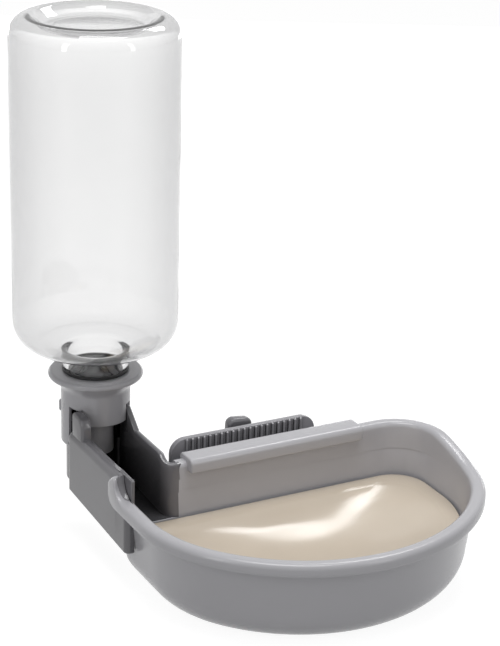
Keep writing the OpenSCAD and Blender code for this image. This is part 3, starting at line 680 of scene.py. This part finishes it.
class BOTTLE_OT_trough(Operator):
    """Build the trough behind the bowl, its near wall, its round end and ears"""

    bl_idname = "water_bottle.trough"
    bl_label = "Trough"

    def execute(self, context):
        # The channel's own copy of the grey plastic paints deeper shade into its narrow
        # gaps.
        grey = grey_plastic("grey_channel_painted_shade", (0.06, 0.4))
        settings = context.scene.bottle_bowl
        near_ear = rounded([(38.85, 46), (50.25, 46), (50.25, 60.4), (38.85, 60.4)],
                           [1.6, 1.6, 1.6, 5]) * MM
        far_ear = rounded([(38.85, 47), (50.25, 47), (50.25, 60.4), (38.85, 51)],
                          [1, 1, 1.2, 1.5]) * MM
        fin = rounded([(-6.6, 37), (8, 37), (8, 50.97), (-6.6, 50.97)],
                      [0.4, 0.4, 0.4, 0.6]) * MM
        ear_out = NEAR_OUT + 1.03 * MM
        inner_edge = 0.25 * MM
        shells = [self.channel_wall(BOWL_H + settings.back_rise), self.near_wall(),
                  slab(near_ear, ear_out, NEAR_IN + PROUD,
                       (settings.ear_edge, inner_edge), "x"),
                  slab(far_ear, FAR_IN - SUNK, FAR_OUT + PROUD, (inner_edge, 0.8 * MM), "x"),
                  slab(fin, NEAR_STEP - SUNK, NEAR_IN - PROUD, 0.3 * MM, "x")]
        rib = np.array([(0, 22), (1.2, 22), (1.2, 40.2), (0.9, 40.8), (0, 41)]) * MM
        for side in (-1, 1):
            place = (TOWER[0] + side * 10.2 * MM, TOWER[1] - 3 * MM)
            shells.append(lathe(rib, place, steps=24, closed=False))
        solid("trough", shells, "bowl_body", grey, ["bowl"])
        # The floor's copy paints strong shade, close to black, deep in the channel.
        solid("trough_floor", [self.floor()], "bowl_body",
              grey_plastic("grey_floor_painted_shade", (0.08, 0.75)), ["bowl"])
        return {"FINISHED"}

    def floor(self):
        """Sloping floor: its plan is a rectangle with a half circle."""
        start, radius = 6 * MM, 13.15 * MM
        plan = np.concatenate((
            [(NEAR_IN - 2 * MM, start), (FAR_OUT, start)],
            arc(TOWER, radius, -24, 204, 60, last=True)))
        rings = []
        for inset, height in ((0.6, 20), (0, 20.6), (0, 23), (0.05, 23.4)):
            ring = moved_in(plan, inset * MM)
            rings.append(along_axis(ring, trough_slope(ring[:, 1], height * MM), "z"))
        return loft(rings)

    def channel_wall(self, rim):
        """Wall of the channel: a section of constant thickness carried along
        the far side, round the end and back to the near wall. It starts inside
        the bowl's wall, and its top steps smoothly from the rim's height to
        the sides' and on to the seat's. A row of the section holds a distance
        from the wall's middle, a share of the way from the bottom up to the
        round edge, and a height above that."""
        middle = (FAR_IN + FAR_OUT) / 2
        half = (FAR_OUT - FAR_IN) / 2
        bend_r = CHANNEL_X - middle
        bend_y = 12.95 * MM
        start_y = bend_y - bend_r
        end_y = 54.4 * MM
        path = np.concatenate((
            line((-35.5 * MM, start_y + 0.5 * MM), (CHANNEL_X, start_y), 3),
            arc((CHANNEL_X, bend_y), bend_r, 270, 180, 24),
            line((middle, bend_y), (middle, 50.5 * MM), 40),
            line((middle, 50.5 * MM), (middle, end_y), 4),
            arc(TOWER, 11.9 * MM, -23.7, 203.7, 90),
            line((NEAR_IN + 0.1 * MM, end_y), (-64.6 * MM, 51.5 * MM), 4)))
        tangent = np.gradient(path, axis=0)
        tangent /= np.linalg.norm(tangent, axis=1)[:, None]
        normal = np.column_stack((tangent[:, 1], -tangent[:, 0]))
        y = path[:, 1]
        top = (rim + (TROUGH_H - rim) * smooth_step(y, 8.6 * MM, 15 * MM)
               + (SEAT_Z - TROUGH_H) * smooth_step(y, 52 * MM, end_y + 0.1 * MM))
        bottom = trough_slope(y, 20.5 * MM)
        at_bowl = 1 - smooth_step(y, start_y, 13 * MM)
        edge = 1 * MM
        right = [(half, 0, 0), (half, 0.45, 0), (half, 0.9, 0), (half, 1, 0.1 * MM),
                 (half - 0.2 * MM, 1, 0.65 * MM), (half - 0.7 * MM, 1, 0.99 * MM)]
        left = [(-out, share, up) for out, share, up in right[::-1]]
        lines = []
        for out, share, up in left[-1:] + right + left[:-1]:
            plan = path + normal * out
            height = bottom + (top - edge - bottom) * share + up
            lean = np.clip((BOWL_H - height) / (35.8 * MM), 0, 1) * LEAN
            plan = plan - np.column_stack((np.zeros_like(lean), lean * at_bowl))
            lines.append(np.column_stack((plan, height)))
        return loft(np.stack(lines, axis=1))

    def near_wall(self):
        """Hollow near wall: its plan has round outer corners. The upper edge
        is rounded wide outside and slightly inside, and the top comes down
        with the rim's curl at the bowl. The cavity opens downwards."""
        corner = 2.4 * MM
        corner_x = NEAR_OUT + corner
        plan = np.concatenate((
            line((NEAR_IN, PANEL_BACK), (corner_x, PANEL_BACK), 4),
            arc((corner_x, PANEL_BACK - corner), corner, 90, 180, 8),
            line((NEAR_OUT, PANEL_BACK - corner), (NEAR_OUT, PANEL_FRONT + corner), 90),
            arc((corner_x, PANEL_FRONT + corner), corner, 180, 270, 12),
            line((corner_x, PANEL_FRONT), (NEAR_STEP, PANEL_FRONT), 4),
            line((NEAR_STEP, PANEL_FRONT), (NEAR_STEP, 4 * MM), 30),
            line((NEAR_STEP, 4 * MM), (NEAR_IN, 6 * MM), 3),
            line((NEAR_IN, 6 * MM), (NEAR_IN, PANEL_BACK), 70)))
        outer = smooth_step(-plan[:, 0], 65.2 * MM, 66.4 * MM)
        radius = (0.7 + 2.9 * outer) * MM
        end_top = 41.9 * MM
        top = end_top + (TROUGH_H - end_top) * curl(plan[:, 0], plan[:, 1])
        low = trough_slope(plan[:, 1], 20 * MM)
        cavity = moved_in(plan, 2 * MM)
        rings = [along_axis(cavity, np.minimum(44 * MM, top - 5 * MM), "z"),
                 along_axis(cavity, low, "z"),
                 along_axis(moved_in(plan, 0.3 * MM), low, "z"),
                 along_axis(plan, low + 0.4 * MM, "z")]
        for a in np.linspace(0, np.pi / 2, 10):
            inset = radius * (1 - np.cos(a))
            rings.append(along_axis(moved_in(plan, inset),
                                    top - radius * (1 - np.sin(a)), "z"))
        return loft(rings)


class BOTTLE_OT_saddle(Operator):
    """Build the raised saddle over the back wall: a hollow bar and end caps"""

    bl_idname = "water_bottle.saddle"
    bl_label = "Saddle"

    def execute(self, context):
        start, end, cap = -32.3 * MM, 53.7 * MM, 2 * MM
        hollow = rounded([(7.5, 36.6), (7.5, 43.4), (2.75, 43.4), (2.75, 49.8),
                          (14.55, 49.8), (14.55, 36.6), (12.95, 36.6), (12.95, 48.2),
                          (9.35, 48.2), (9.35, 36.6)],
                         [0.05, 0.05, 0.8, 2.4, 2.4, 0.5, 0.2, 0.4, 0.4, 0.05])[::-1] * MM
        upper = rounded([(2.75, 43.4), (14.55, 43.4), (14.55, 49.8), (2.75, 49.8)],
                        [0.9, 0.9, 2.4, 2.4]) * MM
        lower = rounded([(8.2, 36.6), (14.55, 36.6), (14.55, 45), (8.2, 45)],
                        [0.9, 0.9, 0.9, 0.9]) * MM
        edge = 0.8 * MM
        short = cap - 0.1 * MM
        shells = [slab(hollow, start + cap, end - cap, 0, "x"),
                  slab(upper, start, start + cap, (edge, 0), "x"),
                  slab(lower, start + SUNK, start + short, (edge, 0), "x"),
                  slab(upper, end - cap, end, (0, edge), "x"),
                  slab(lower, end - short, end - SUNK, (0, edge), "x")]
        solid("saddle", shells, "bowl_body", grey_plastic(), ["bowl"])
        return {"FINISHED"}


class BOTTLE_OT_dish(Operator):
    """Build the shallow dish that lies in the bowl"""

    bl_idname = "water_bottle.dish"
    bl_label = "Dish"

    def execute(self, context):
        settings = context.scene.bottle_dish
        material = moulded_material("dish_plastic", settings.colour, mottle=0.05,
                                    scale=40, roughness=0.16, spread=0.05, wave=0.6,
                                    grain=0.04, bump=0.1)
        top, thick, edge = 23.4 * MM, 1.8 * MM, 5.4 * MM
        rings = self.bowl_rings(top, settings.depth, settings.border, 0)
        for inset, down in ((0.5, 0), (0.1, 0.2), (0, 0.5), (0, 1.4), (0.4, 1.8)):
            plan = bowl_outline(edge + inset * MM, None, CORNER_R - edge - inset * MM + MM)
            rings.append(along_axis(plan, top - down * MM, "z"))
        rings += self.bowl_rings(top, settings.depth, settings.border, thick)[::-1]
        solid("dish_tray", [loft(rings, capped=False)], "bowl_body", material,
              ["dish"], sharp=60)
        return {"FINISHED"}

    def bowl_rings(self, top, depth, border, drop):
        """Rings of the dish from its middle point to its border. Each is the
        plan inside the border, shrunk towards the middle by its share t. A
        point's distance from the middle is a mean of the plan's and an
        ellipse's, by a smooth step of t, so the rings turn into ellipses
        inwards. The depth below the border is the full depth times one minus
        the square of t, and a little more just inside the border."""
        middle = np.array([BOWL_X, -36 * MM])
        oval_x, oval_y = 62 * MM, 38 * MM
        corner = 4 * MM
        start = 5.1 * MM + border
        offset = bowl_outline(start, start, corner) - middle
        length = np.linalg.norm(offset, axis=1)
        turn = offset / length[:, None]
        oval = 1 / np.hypot(turn[:, 0] / oval_x, turn[:, 1] / oval_y)
        rings = []
        for t in np.concatenate((np.linspace(0, 0.96, 36), [0.975, 0.987, 0.995, 1.0])):
            weight = smooth_step(t, 0.6, 1.0)
            reach = length * weight + oval * (1 - weight)
            plan = middle + turn * reach[:, None] * t
            fall = t ** 2 - 0.02 * smooth_step(t, 0.97, 1.0)
            rings.append(along_axis(plan, top - depth * (1 - fall) - drop, "z"))
        plan = bowl_outline(start - 0.5 * MM, None, corner)
        rings.append(along_axis(plan, top - drop, "z"))
        return rings


class BOTTLE_OT_collar(Operator):
    """Build the collar that carries the bottle, and its rubber ring"""

    bl_idname = "water_bottle.collar"
    bl_label = "Collar"

    def execute(self, context):
        grey = grey_plastic()
        shells = [self.top(), self.skirt(), self.seat()]
        bump = np.array([(0, 54.5), (1.2, 54.5), (1.6, 55), (1.6, 59), (1.2, 59.5),
                         (0, 59.5)]) * MM
        for side in (-1, 1):
            place = (TOWER[0] + side * 13.05 * MM, TOWER[1] + 6.97 * MM)
            shells.append(lathe(bump, place, steps=24, closed=False))
        solid("collar_ring", shells, "collar_body", grey, ["collar"])
        rubber = moulded_material("black_rubber", (0.012, 0.012, 0.013), mottle=0.1,
                                  roughness=0.5, spread=0.15, wave=0.2, grain=0.6,
                                  bump=0.3)
        section = np.array([(13.9, 75.15), (13.9, 76.25), (14.1, 76.4), (14.5, 76.4),
                            (14.8, 76.1), (14.8, 75.3), (14.5, 75.0), (14.1, 75.0)]) * MM
        solid("rubber_ring", [lathe(section, TOWER)], "seal_body", rubber,
              ["neck_seal"])
        return {"FINISHED"}

    def top(self):
        """Flange, flare, bore, floor and outlet tube: one turned section."""
        edge = arc((19.5, 73.5), 1.5, 90, -90, 14, last=True)
        section = np.concatenate((
            [(13.9, 75), (14.3, 75)], edge,
            [(19.2, 71.9), (18.4, 71.2), (16.6, 69.2), (15.9, 68.2), (15.5, 67.2),
             (15.4, 66.2), (15.4, 60.8), (14, 60.8), (14, 59.5),
             (8, 59.5), (8, 36.3), (7.7, 36), (6.8, 36), (6.5, 36.3), (6.5, 60.9),
             (6.8, 61.2), (13.9, 61.2), (13.9, 74.6)])) * MM
        return lathe(section, TOWER)

    def skirt(self):
        """Skirt below the flare: a wall whose lower edge hangs lowest at the
        back, stops at the seat in front, and stops above the ears between.
        Each angle is taken twice, a hair apart, so that the edge's steps are
        upright, and the tongue's lower corners are quarter circles."""
        angle = np.radians(np.linspace(-180, 180, 361))
        angle = (angle[:, None] + (-1e-5, 1e-5)).ravel()[1:-1]
        tongue, seat, notch, top = 41.5, 53.0, 60.6, 61.0
        front_y, left_x, right_x = -4.3, -10.6, 9.2
        outer, inner, edge = 15.4, 14, 0.3
        x = outer * np.cos(angle)
        y = outer * np.sin(angle)
        low = np.where((x > left_x) & (x < right_x), seat, notch)
        low = np.where(y > front_y, tongue, low)
        corner = np.clip((front_y + 2.3 - y) / 2, 0, 1) * (y > front_y)
        low = low + 2 * (1 - np.sqrt(1 - corner ** 2))
        high = np.full(len(angle), top)
        lines = []
        for radius, height in ((outer, high), (outer, low + edge), (outer - edge, low),
                               (inner + edge, low), (inner, low + edge), (inner, high)):
            lines.append(np.column_stack((TOWER[0] / MM + radius * np.cos(angle),
                                          TOWER[1] / MM + radius * np.sin(angle),
                                          height)))
        return loft(np.stack(lines, axis=1) * MM)

    def seat(self):
        """Ring inside the skirt that sits on the trough's round end."""
        section = np.array([(10.7, 53.1), (10.9, 53), (13.1, 53), (13.1, 54.7),
                            (10.9, 54.7), (10.7, 54.5)]) * MM
        return lathe(section, TOWER)


class BOTTLE_OT_bottle(Operator):
    """Build the clear bottle, with its neck thread and hollow base"""

    bl_idname = "water_bottle.bottle"
    bl_label = "Bottle"

    def execute(self, context):
        settings = context.scene.bottle_bottle
        material = clear_material("clear_plastic", settings.colour)
        profile = self.profile(settings.wall / MM) * MM
        steps = 180
        angle = np.linspace(0, 2 * np.pi, steps, endpoint=False)
        radius = np.repeat(profile[:, :1], steps, axis=1)
        height = np.repeat(profile[:, 1:], steps, axis=1)
        turns = height / settings.thread_pitch - angle / (2 * np.pi)
        groove = 0.5 - 0.5 * np.cos(2 * np.pi * turns)
        outside = (radius > 13.5 * MM) & (height < 76 * MM)
        fade = smooth_step(height, 61.6 * MM, 63 * MM) * (1 - smooth_step(
            height, 73.5 * MM, 75.5 * MM))
        radius = radius - settings.thread_depth * groove * fade * outside
        rings = np.stack((TOWER[0] + radius * np.cos(angle),
                          TOWER[1] + radius * np.sin(angle), height), axis=-1)
        solid("clear_bottle", [loft(rings, capped=False)], "bottle_body", material,
              ["bottle"], sharp=60)
        return {"FINISHED"}

    def profile(self, wall):
        """Half section of the bottle, in millimetres: the outer face from the
        middle of the base over the heel, down the side, round the shoulder and
        down the neck, and the inner face back up."""
        side, heel, shoulder, neck = 36.3, 8, 12.6, 13.8
        heel_z, shoulder_z = 225.5, 99.4
        return np.concatenate((
            [(0, 228.3), (7, 228.32), (13, 228.4), (18, 228.6), (21, 229.0),
             (22.6, 229.8), (24.4, 231.4), (25.9, 232.7), (27, 233.3), (27.8, 233.5)],
            arc((side - heel, heel_z), heel, 90, 0, 16),
            line((side, heel_z), (side, shoulder_z), 40),
            arc((side - shoulder, shoulder_z), shoulder, 0, -90, 22),
            [(23.7, 86.8), (20, 86.0), (17, 85.35), (15.6, 84.95), (15.0, 84.6),
             (14.65, 84.0), (14.6, 83.2), (14.6, 77.2), (14.4, 76.5), (14.0, 76.4),
             (13.8, 76.2)],
            line((neck, 76), (neck, 62), 70),
            [(neck, 62), (13.6, 61.6), (13.2, 61.5), (12.3, 61.5), (12.0, 61.6),
             (11.9, 62), (11.9, 70), (11.9, 78), (12, 81), (12.5, 83.6), (13.7, 85.2),
             (15.6, 86), (18, 86.5), (20.5, 86.95), (23.2, 86.8 + wall)],
            arc((side - shoulder, shoulder_z), shoulder - wall, -88, 0, 20),
            line((side - wall, shoulder_z), (side - wall, heel_z), 40),
            arc((side - heel, heel_z), heel - wall, 0, 84, 14),
            [(28.4, 232.85), (27.6, 232.6), (26.4, 231.9), (24.8, 230.5), (23.0, 228.8),
             (21.2, 228.1), (18, 227.8), (13, 227.65), (7, 227.6), (0, 227.6)]))


class BOTTLE_OT_clamp(Operator):
    """Build the bracket, screw, jaw, washer and wing nut"""

    bl_idname = "water_bottle.clamp"
    bl_label = "Clamp"

    def execute(self, context):
        settings = context.scene.bottle_clamp
        grey = grey_plastic()
        steel = moulded_material("zinc_steel", (0.62, 0.62, 0.63), mottle=0.08, scale=200,
                                 roughness=0.3, spread=0.2, wave=0.3, grain=0.3,
                                 bump=0.2, metallic=1.0)
        dark = moulded_material("nut_plastic", settings.nut_colour, mottle=0.05,
                                roughness=0.24, spread=0.08, wave=0.5, grain=0.1,
                                bump=0.12)
        solid("wire_bracket", self.bracket(), "bracket_body", grey,
              ["bracket"])
        solid("screw_rod", [self.screw()], "bracket_body", steel,
              ["clamp_screw"])
        # The jaw's copy of the grey plastic is 1.7 times lighter as painted light, and
        # paints shade between its ribs.
        solid("ribbed_jaw", self.jaw(settings), "jaw_body",
              grey_plastic("grey_ribs_painted_light_and_shade", (0.0025, 0.95), 1.7), ["jaw"])
        disc = np.array([(3.05, 24.6), (3.05, 25.7), (3.15, 25.75), (10.7, 25.75),
                         (11, 25.5), (11, 24.8), (10.7, 24.55), (3.15, 24.55)]) * MM
        solid("washer_disc", [lathe(disc, (CLAMP_X, SCREW_Z), "y")], "jaw_body", steel,
              ["washer"])
        solid("wing_knob", self.wings(), "nut_body", dark, ["wing_nut"])
        return {"FINISHED"}

    def bracket(self):
        """Plate and pad with round edges, each with a hole shown by the screw
        that fills it."""
        x0, x1 = -22.1 * MM, 27.9 * MM
        plate = rounded([(x0, 15.6 * MM), (x1, 15.6 * MM), (x1, 47.6 * MM),
                         (x0, 47.6 * MM)], [1.5 * MM] * 4)
        pad = rounded([(x0, 15.6 * MM), (x1, 15.6 * MM), (x1, 36 * MM), (x0, 36 * MM)],
                      [1.5 * MM] * 4)
        return [slab(plate, 9.65 * MM, 12.65 * MM, 0.4 * MM, "y"),
                slab(pad, 12.45 * MM, 15.25 * MM, (0.05 * MM, 0.6 * MM), "y")]

    def screw(self):
        """Screw along Y: a low head, and a rod with a thread of 1 mm pitch
        that is cut into it as a cosine wave."""
        rows = np.concatenate((
            [(0, 9.85), (5.9, 9.85), (6.5, 10.4), (6.5, 12.2), (3, 12.25)],
            line((3, 12.3), (3, 45.8), 270), [(3, 45.8), (2.3, 46.5), (0, 46.55)])) * MM
        steps = 32
        angle = np.linspace(0, 2 * np.pi, steps, endpoint=False)
        radius = np.repeat(rows[:, :1], steps, axis=1)
        depth = np.repeat(rows[:, 1:], steps, axis=1)
        turns = depth / MM - angle / (2 * np.pi)
        thread = (depth > 14 * MM) & (radius > 2.9 * MM)
        radius = radius - 0.3 * MM * (0.5 - 0.5 * np.cos(2 * np.pi * turns)) * thread
        rings = np.stack((CLAMP_X + radius * np.cos(angle), depth,
                          SCREW_Z + radius * np.sin(angle)), axis=-1)
        return loft(rings, capped=False)

    def jaw(self, settings):
        """Plate with round corners and edges, and upright ribs whose section
        is half an ellipse and gets smaller at both ends."""
        half, low, high = 36 * MM, 15.6 * MM, 51.6 * MM
        face = 21.15 * MM
        view = rounded([(CLAMP_X - half, low), (CLAMP_X + half, low),
                        (CLAMP_X + half, high), (CLAMP_X - half, high)],
                       [7 * MM] * 4, steps=12)
        shells = [slab(view, face, face + 3.4 * MM, (0.3 * MM, 1.1 * MM), "y")]
        section = arc((0, 0), 1, 0, -180, 9, last=True) * (0.78 * MM, 0.95 * MM)
        for i in range(-settings.ribs, settings.ribs + 1):
            middle = np.array([CLAMP_X + i * settings.rib_pitch, face + 0.05 * MM])
            shells.append(loft([along_axis(middle + section * size, z * MM, "z")
                                for z, size in ((16.6, 0.4), (17.1, 1), (51.0, 1),
                                                (51.5, 0.4))]))
        return shells

    def wings(self):
        """Hub and two flat wings that widen outwards, with round ends. The
        wings are turned a little from upright about the screw."""
        hub = np.array([(3.05, 25.82), (3.05, 35.25), (5.6, 35.25), (6.3, 34.9),
                        (6.5, 34.2), (6.5, 26.6), (6.2, 26.02), (5.6, 25.82)]) * MM
        shells = [lathe(hub, (CLAMP_X, SCREW_Z), "y", steps=64)]
        tilt = np.radians(6)
        turn = np.array([(np.cos(tilt), -np.sin(tilt)), (np.sin(tilt), np.cos(tilt))])
        wing = [(-4.9, 2.0), (4.9, 2.0), (6.2, 20.6), (-6.2, 20.6)]
        for side in (1, -1):
            outline = rounded(np.array(wing) * (1, side), [1.5, 1.5, 3, 3])[::side]
            outline = outline @ turn * MM + (CLAMP_X, SCREW_Z)
            shells.append(slab(outline, 28 * MM, 33 * MM, 1.4 * MM, "y"))
        return shells


class BOTTLE_OT_studio(Operator):
    """Build the floor, the soft lights, the background and the camera"""

    bl_idname = "water_bottle.studio"
    bl_label = "Studio"

    def execute(self, context):
        scene = context.scene
        scene.view_settings.view_transform = "Standard"
        settings = scene.bottle_studio
        self.floor()
        self.world(scene, settings.fill)
        for name, (place, target, width, height, share) in LIGHTS.items():
            self.light(name, place, target, width, height, settings.key * share)
        self.camera(scene)
        return {"FINISHED"}

    def seen(self, nodes, links):
        """1 for rays that come from the camera, a reflection or clear
        plastic, else 0."""
        rays = nodes.new("ShaderNodeLightPath")
        seen = rays.outputs["Is Camera Ray"]
        for name in ("Is Glossy Ray", "Is Transmission Ray"):
            larger = nodes.new("ShaderNodeMath")
            larger.operation = "MAXIMUM"
            links.new(seen, larger.inputs[0])
            links.new(rays.outputs[name], larger.inputs[1])
            seen = larger.outputs[0]
        return seen

    def floor(self):
        """Large floor: white and slightly glowing where it is seen, so that it
        keeps a soft shadow, and plain white for every other ray."""
        half = 6.0
        mesh = bpy.data.meshes.new("studio_floor")
        corners = [(-half, -half, 0), (half, -half, 0), (half, half, 0), (-half, half, 0)]
        mesh.from_pydata(corners, [], [(0, 1, 2, 3)])
        material = bpy.data.materials.new("studio_white")
        material.use_nodes = True
        nodes, links = material.node_tree.nodes, material.node_tree.links
        shader = nodes["Principled BSDF"]
        shader.inputs["Base Color"].default_value = (0.8, 0.8, 0.8, 1)
        shader.inputs["Roughness"].default_value = 0.9
        shader.inputs["Specular IOR Level"].default_value = 0.0
        shader.inputs["Emission Color"].default_value = (1, 1, 1, 1)
        seen = self.seen(nodes, links)
        for low, high, name in ((0.5, 0.3, "Base Color"), (0.0, 0.9, "Emission Strength")):
            level = nodes.new("ShaderNodeMapRange")
            level.inputs["To Min"].default_value = low
            level.inputs["To Max"].default_value = high
            links.new(seen, level.inputs["Value"])
            links.new(level.outputs["Result"], shader.inputs[name])
        mesh.materials.append(material)
        floor = bpy.data.objects.new("studio_floor", mesh)
        bpy.context.scene.collection.objects.link(floor)

    def world(self, scene, fill):
        """White for the camera, in reflections and through clear plastic, and
        a plain even light for everything else."""
        world = bpy.data.worlds.new("studio")
        scene.world = world
        world.use_nodes = True
        nodes, links = world.node_tree.nodes, world.node_tree.links
        background = nodes["Background"]
        background.inputs["Color"].default_value = (1, 1, 1, 1)
        level = nodes.new("ShaderNodeMapRange")
        level.inputs["To Min"].default_value = fill
        level.inputs["To Max"].default_value = 1.0
        links.new(self.seen(nodes, links), level.inputs["Value"])
        links.new(level.outputs["Result"], background.inputs["Strength"])

    def light(self, name, place, target, width, height, power):
        """Rectangular soft light at a place, aimed at a target."""
        data = bpy.data.lights.new(name, "AREA")
        data.shape = "RECTANGLE"
        data.size = width
        data.size_y = height
        data.energy = power
        lamp = bpy.data.objects.new(name, data)
        aim = Vector(target) - Vector(place)
        lamp.matrix_world = Matrix.Translation(place) @ aim.to_track_quat(
            "-Z", "Y").to_matrix().to_4x4()
        lamp.visible_camera = False
        lamp.visible_transmission = False
        bpy.context.scene.collection.objects.link(lamp)

    def camera(self, scene):
        """Camera at the photograph's place, turned by heading, pitch and roll:
        forward and right follow from the first two, and the roll turns right
        and up about forward."""
        data = bpy.data.cameras.new("photo_camera")
        data.sensor_fit = "HORIZONTAL"
        data.sensor_width = 36
        data.lens = CAMERA_LENS
        heading, pitch, roll = np.radians(CAMERA_TURN)
        forward = Vector((np.sin(heading) * np.cos(pitch), np.cos(heading) * np.cos(pitch),
                          -np.sin(pitch)))
        right = Vector((np.cos(heading), -np.sin(heading), 0))
        up = right.cross(forward)
        right, up = (right * np.cos(roll) + up * np.sin(roll),
                     up * np.cos(roll) - right * np.sin(roll))
        axes = Matrix((right, up, -forward)).transposed().to_4x4()
        camera = bpy.data.objects.new("photo_camera", data)
        camera.matrix_world = Matrix.Translation(CAMERA_PLACE) @ axes
        scene.collection.objects.link(camera)
        scene.camera = camera


class BOTTLE_PT_panel(Panel):
    """Panel in the 3D view's sidebar with every step and its settings."""

    bl_label = "Water Bottle"
    bl_idname = "BOTTLE_PT_panel"
    bl_space_type = "VIEW_3D"
    bl_region_type = "UI"
    bl_category = "Water Bottle"

    def draw(self, context):
        for group, operators in STEPS:
            box = self.layout.box()
            settings = getattr(context.scene, group)
            for name in settings.__annotations__:
                box.prop(settings, name)
            for operator in operators:
                box.operator(operator.bl_idname)


STEPS = (
    ("bottle_bowl", (BOTTLE_OT_bowl, BOTTLE_OT_trough, BOTTLE_OT_saddle, BOTTLE_OT_collar)),
    ("bottle_dish", (BOTTLE_OT_dish,)),
    ("bottle_bottle", (BOTTLE_OT_bottle,)),
    ("bottle_clamp", (BOTTLE_OT_clamp,)),
    ("bottle_studio", (BOTTLE_OT_studio,)),
)
SETTINGS = {
    "bottle_bowl": BowlSettings,
    "bottle_dish": DishSettings,
    "bottle_bottle": BottleSettings,
    "bottle_clamp": ClampSettings,
    "bottle_studio": StudioSettings,
}
CLASSES = (*SETTINGS.values(), BOTTLE_OT_bowl, BOTTLE_OT_trough, BOTTLE_OT_saddle,
           BOTTLE_OT_dish, BOTTLE_OT_collar, BOTTLE_OT_bottle, BOTTLE_OT_clamp,
           BOTTLE_OT_studio, BOTTLE_PT_panel)


def register():
    """Register the classes and hang the settings on the scene."""
    for item in CLASSES:
        bpy.utils.register_class(item)
    for name, group in SETTINGS.items():
        setattr(bpy.types.Scene, name, PointerProperty(type=group))


def unregister():
    """Take the settings and the classes away again."""
    for name in SETTINGS:
        delattr(bpy.types.Scene, name)
    for item in reversed(CLASSES):
        bpy.utils.unregister_class(item)


def main():
    """Build the whole object."""
    register()
    bpy.ops.water_bottle.bowl()
    bpy.ops.water_bottle.trough()
    bpy.ops.water_bottle.saddle()
    bpy.ops.water_bottle.dish()
    bpy.ops.water_bottle.collar()
    bpy.ops.water_bottle.bottle()
    bpy.ops.water_bottle.clamp()
    bpy.ops.water_bottle.studio()


if __name__ == "__main__":
    main()
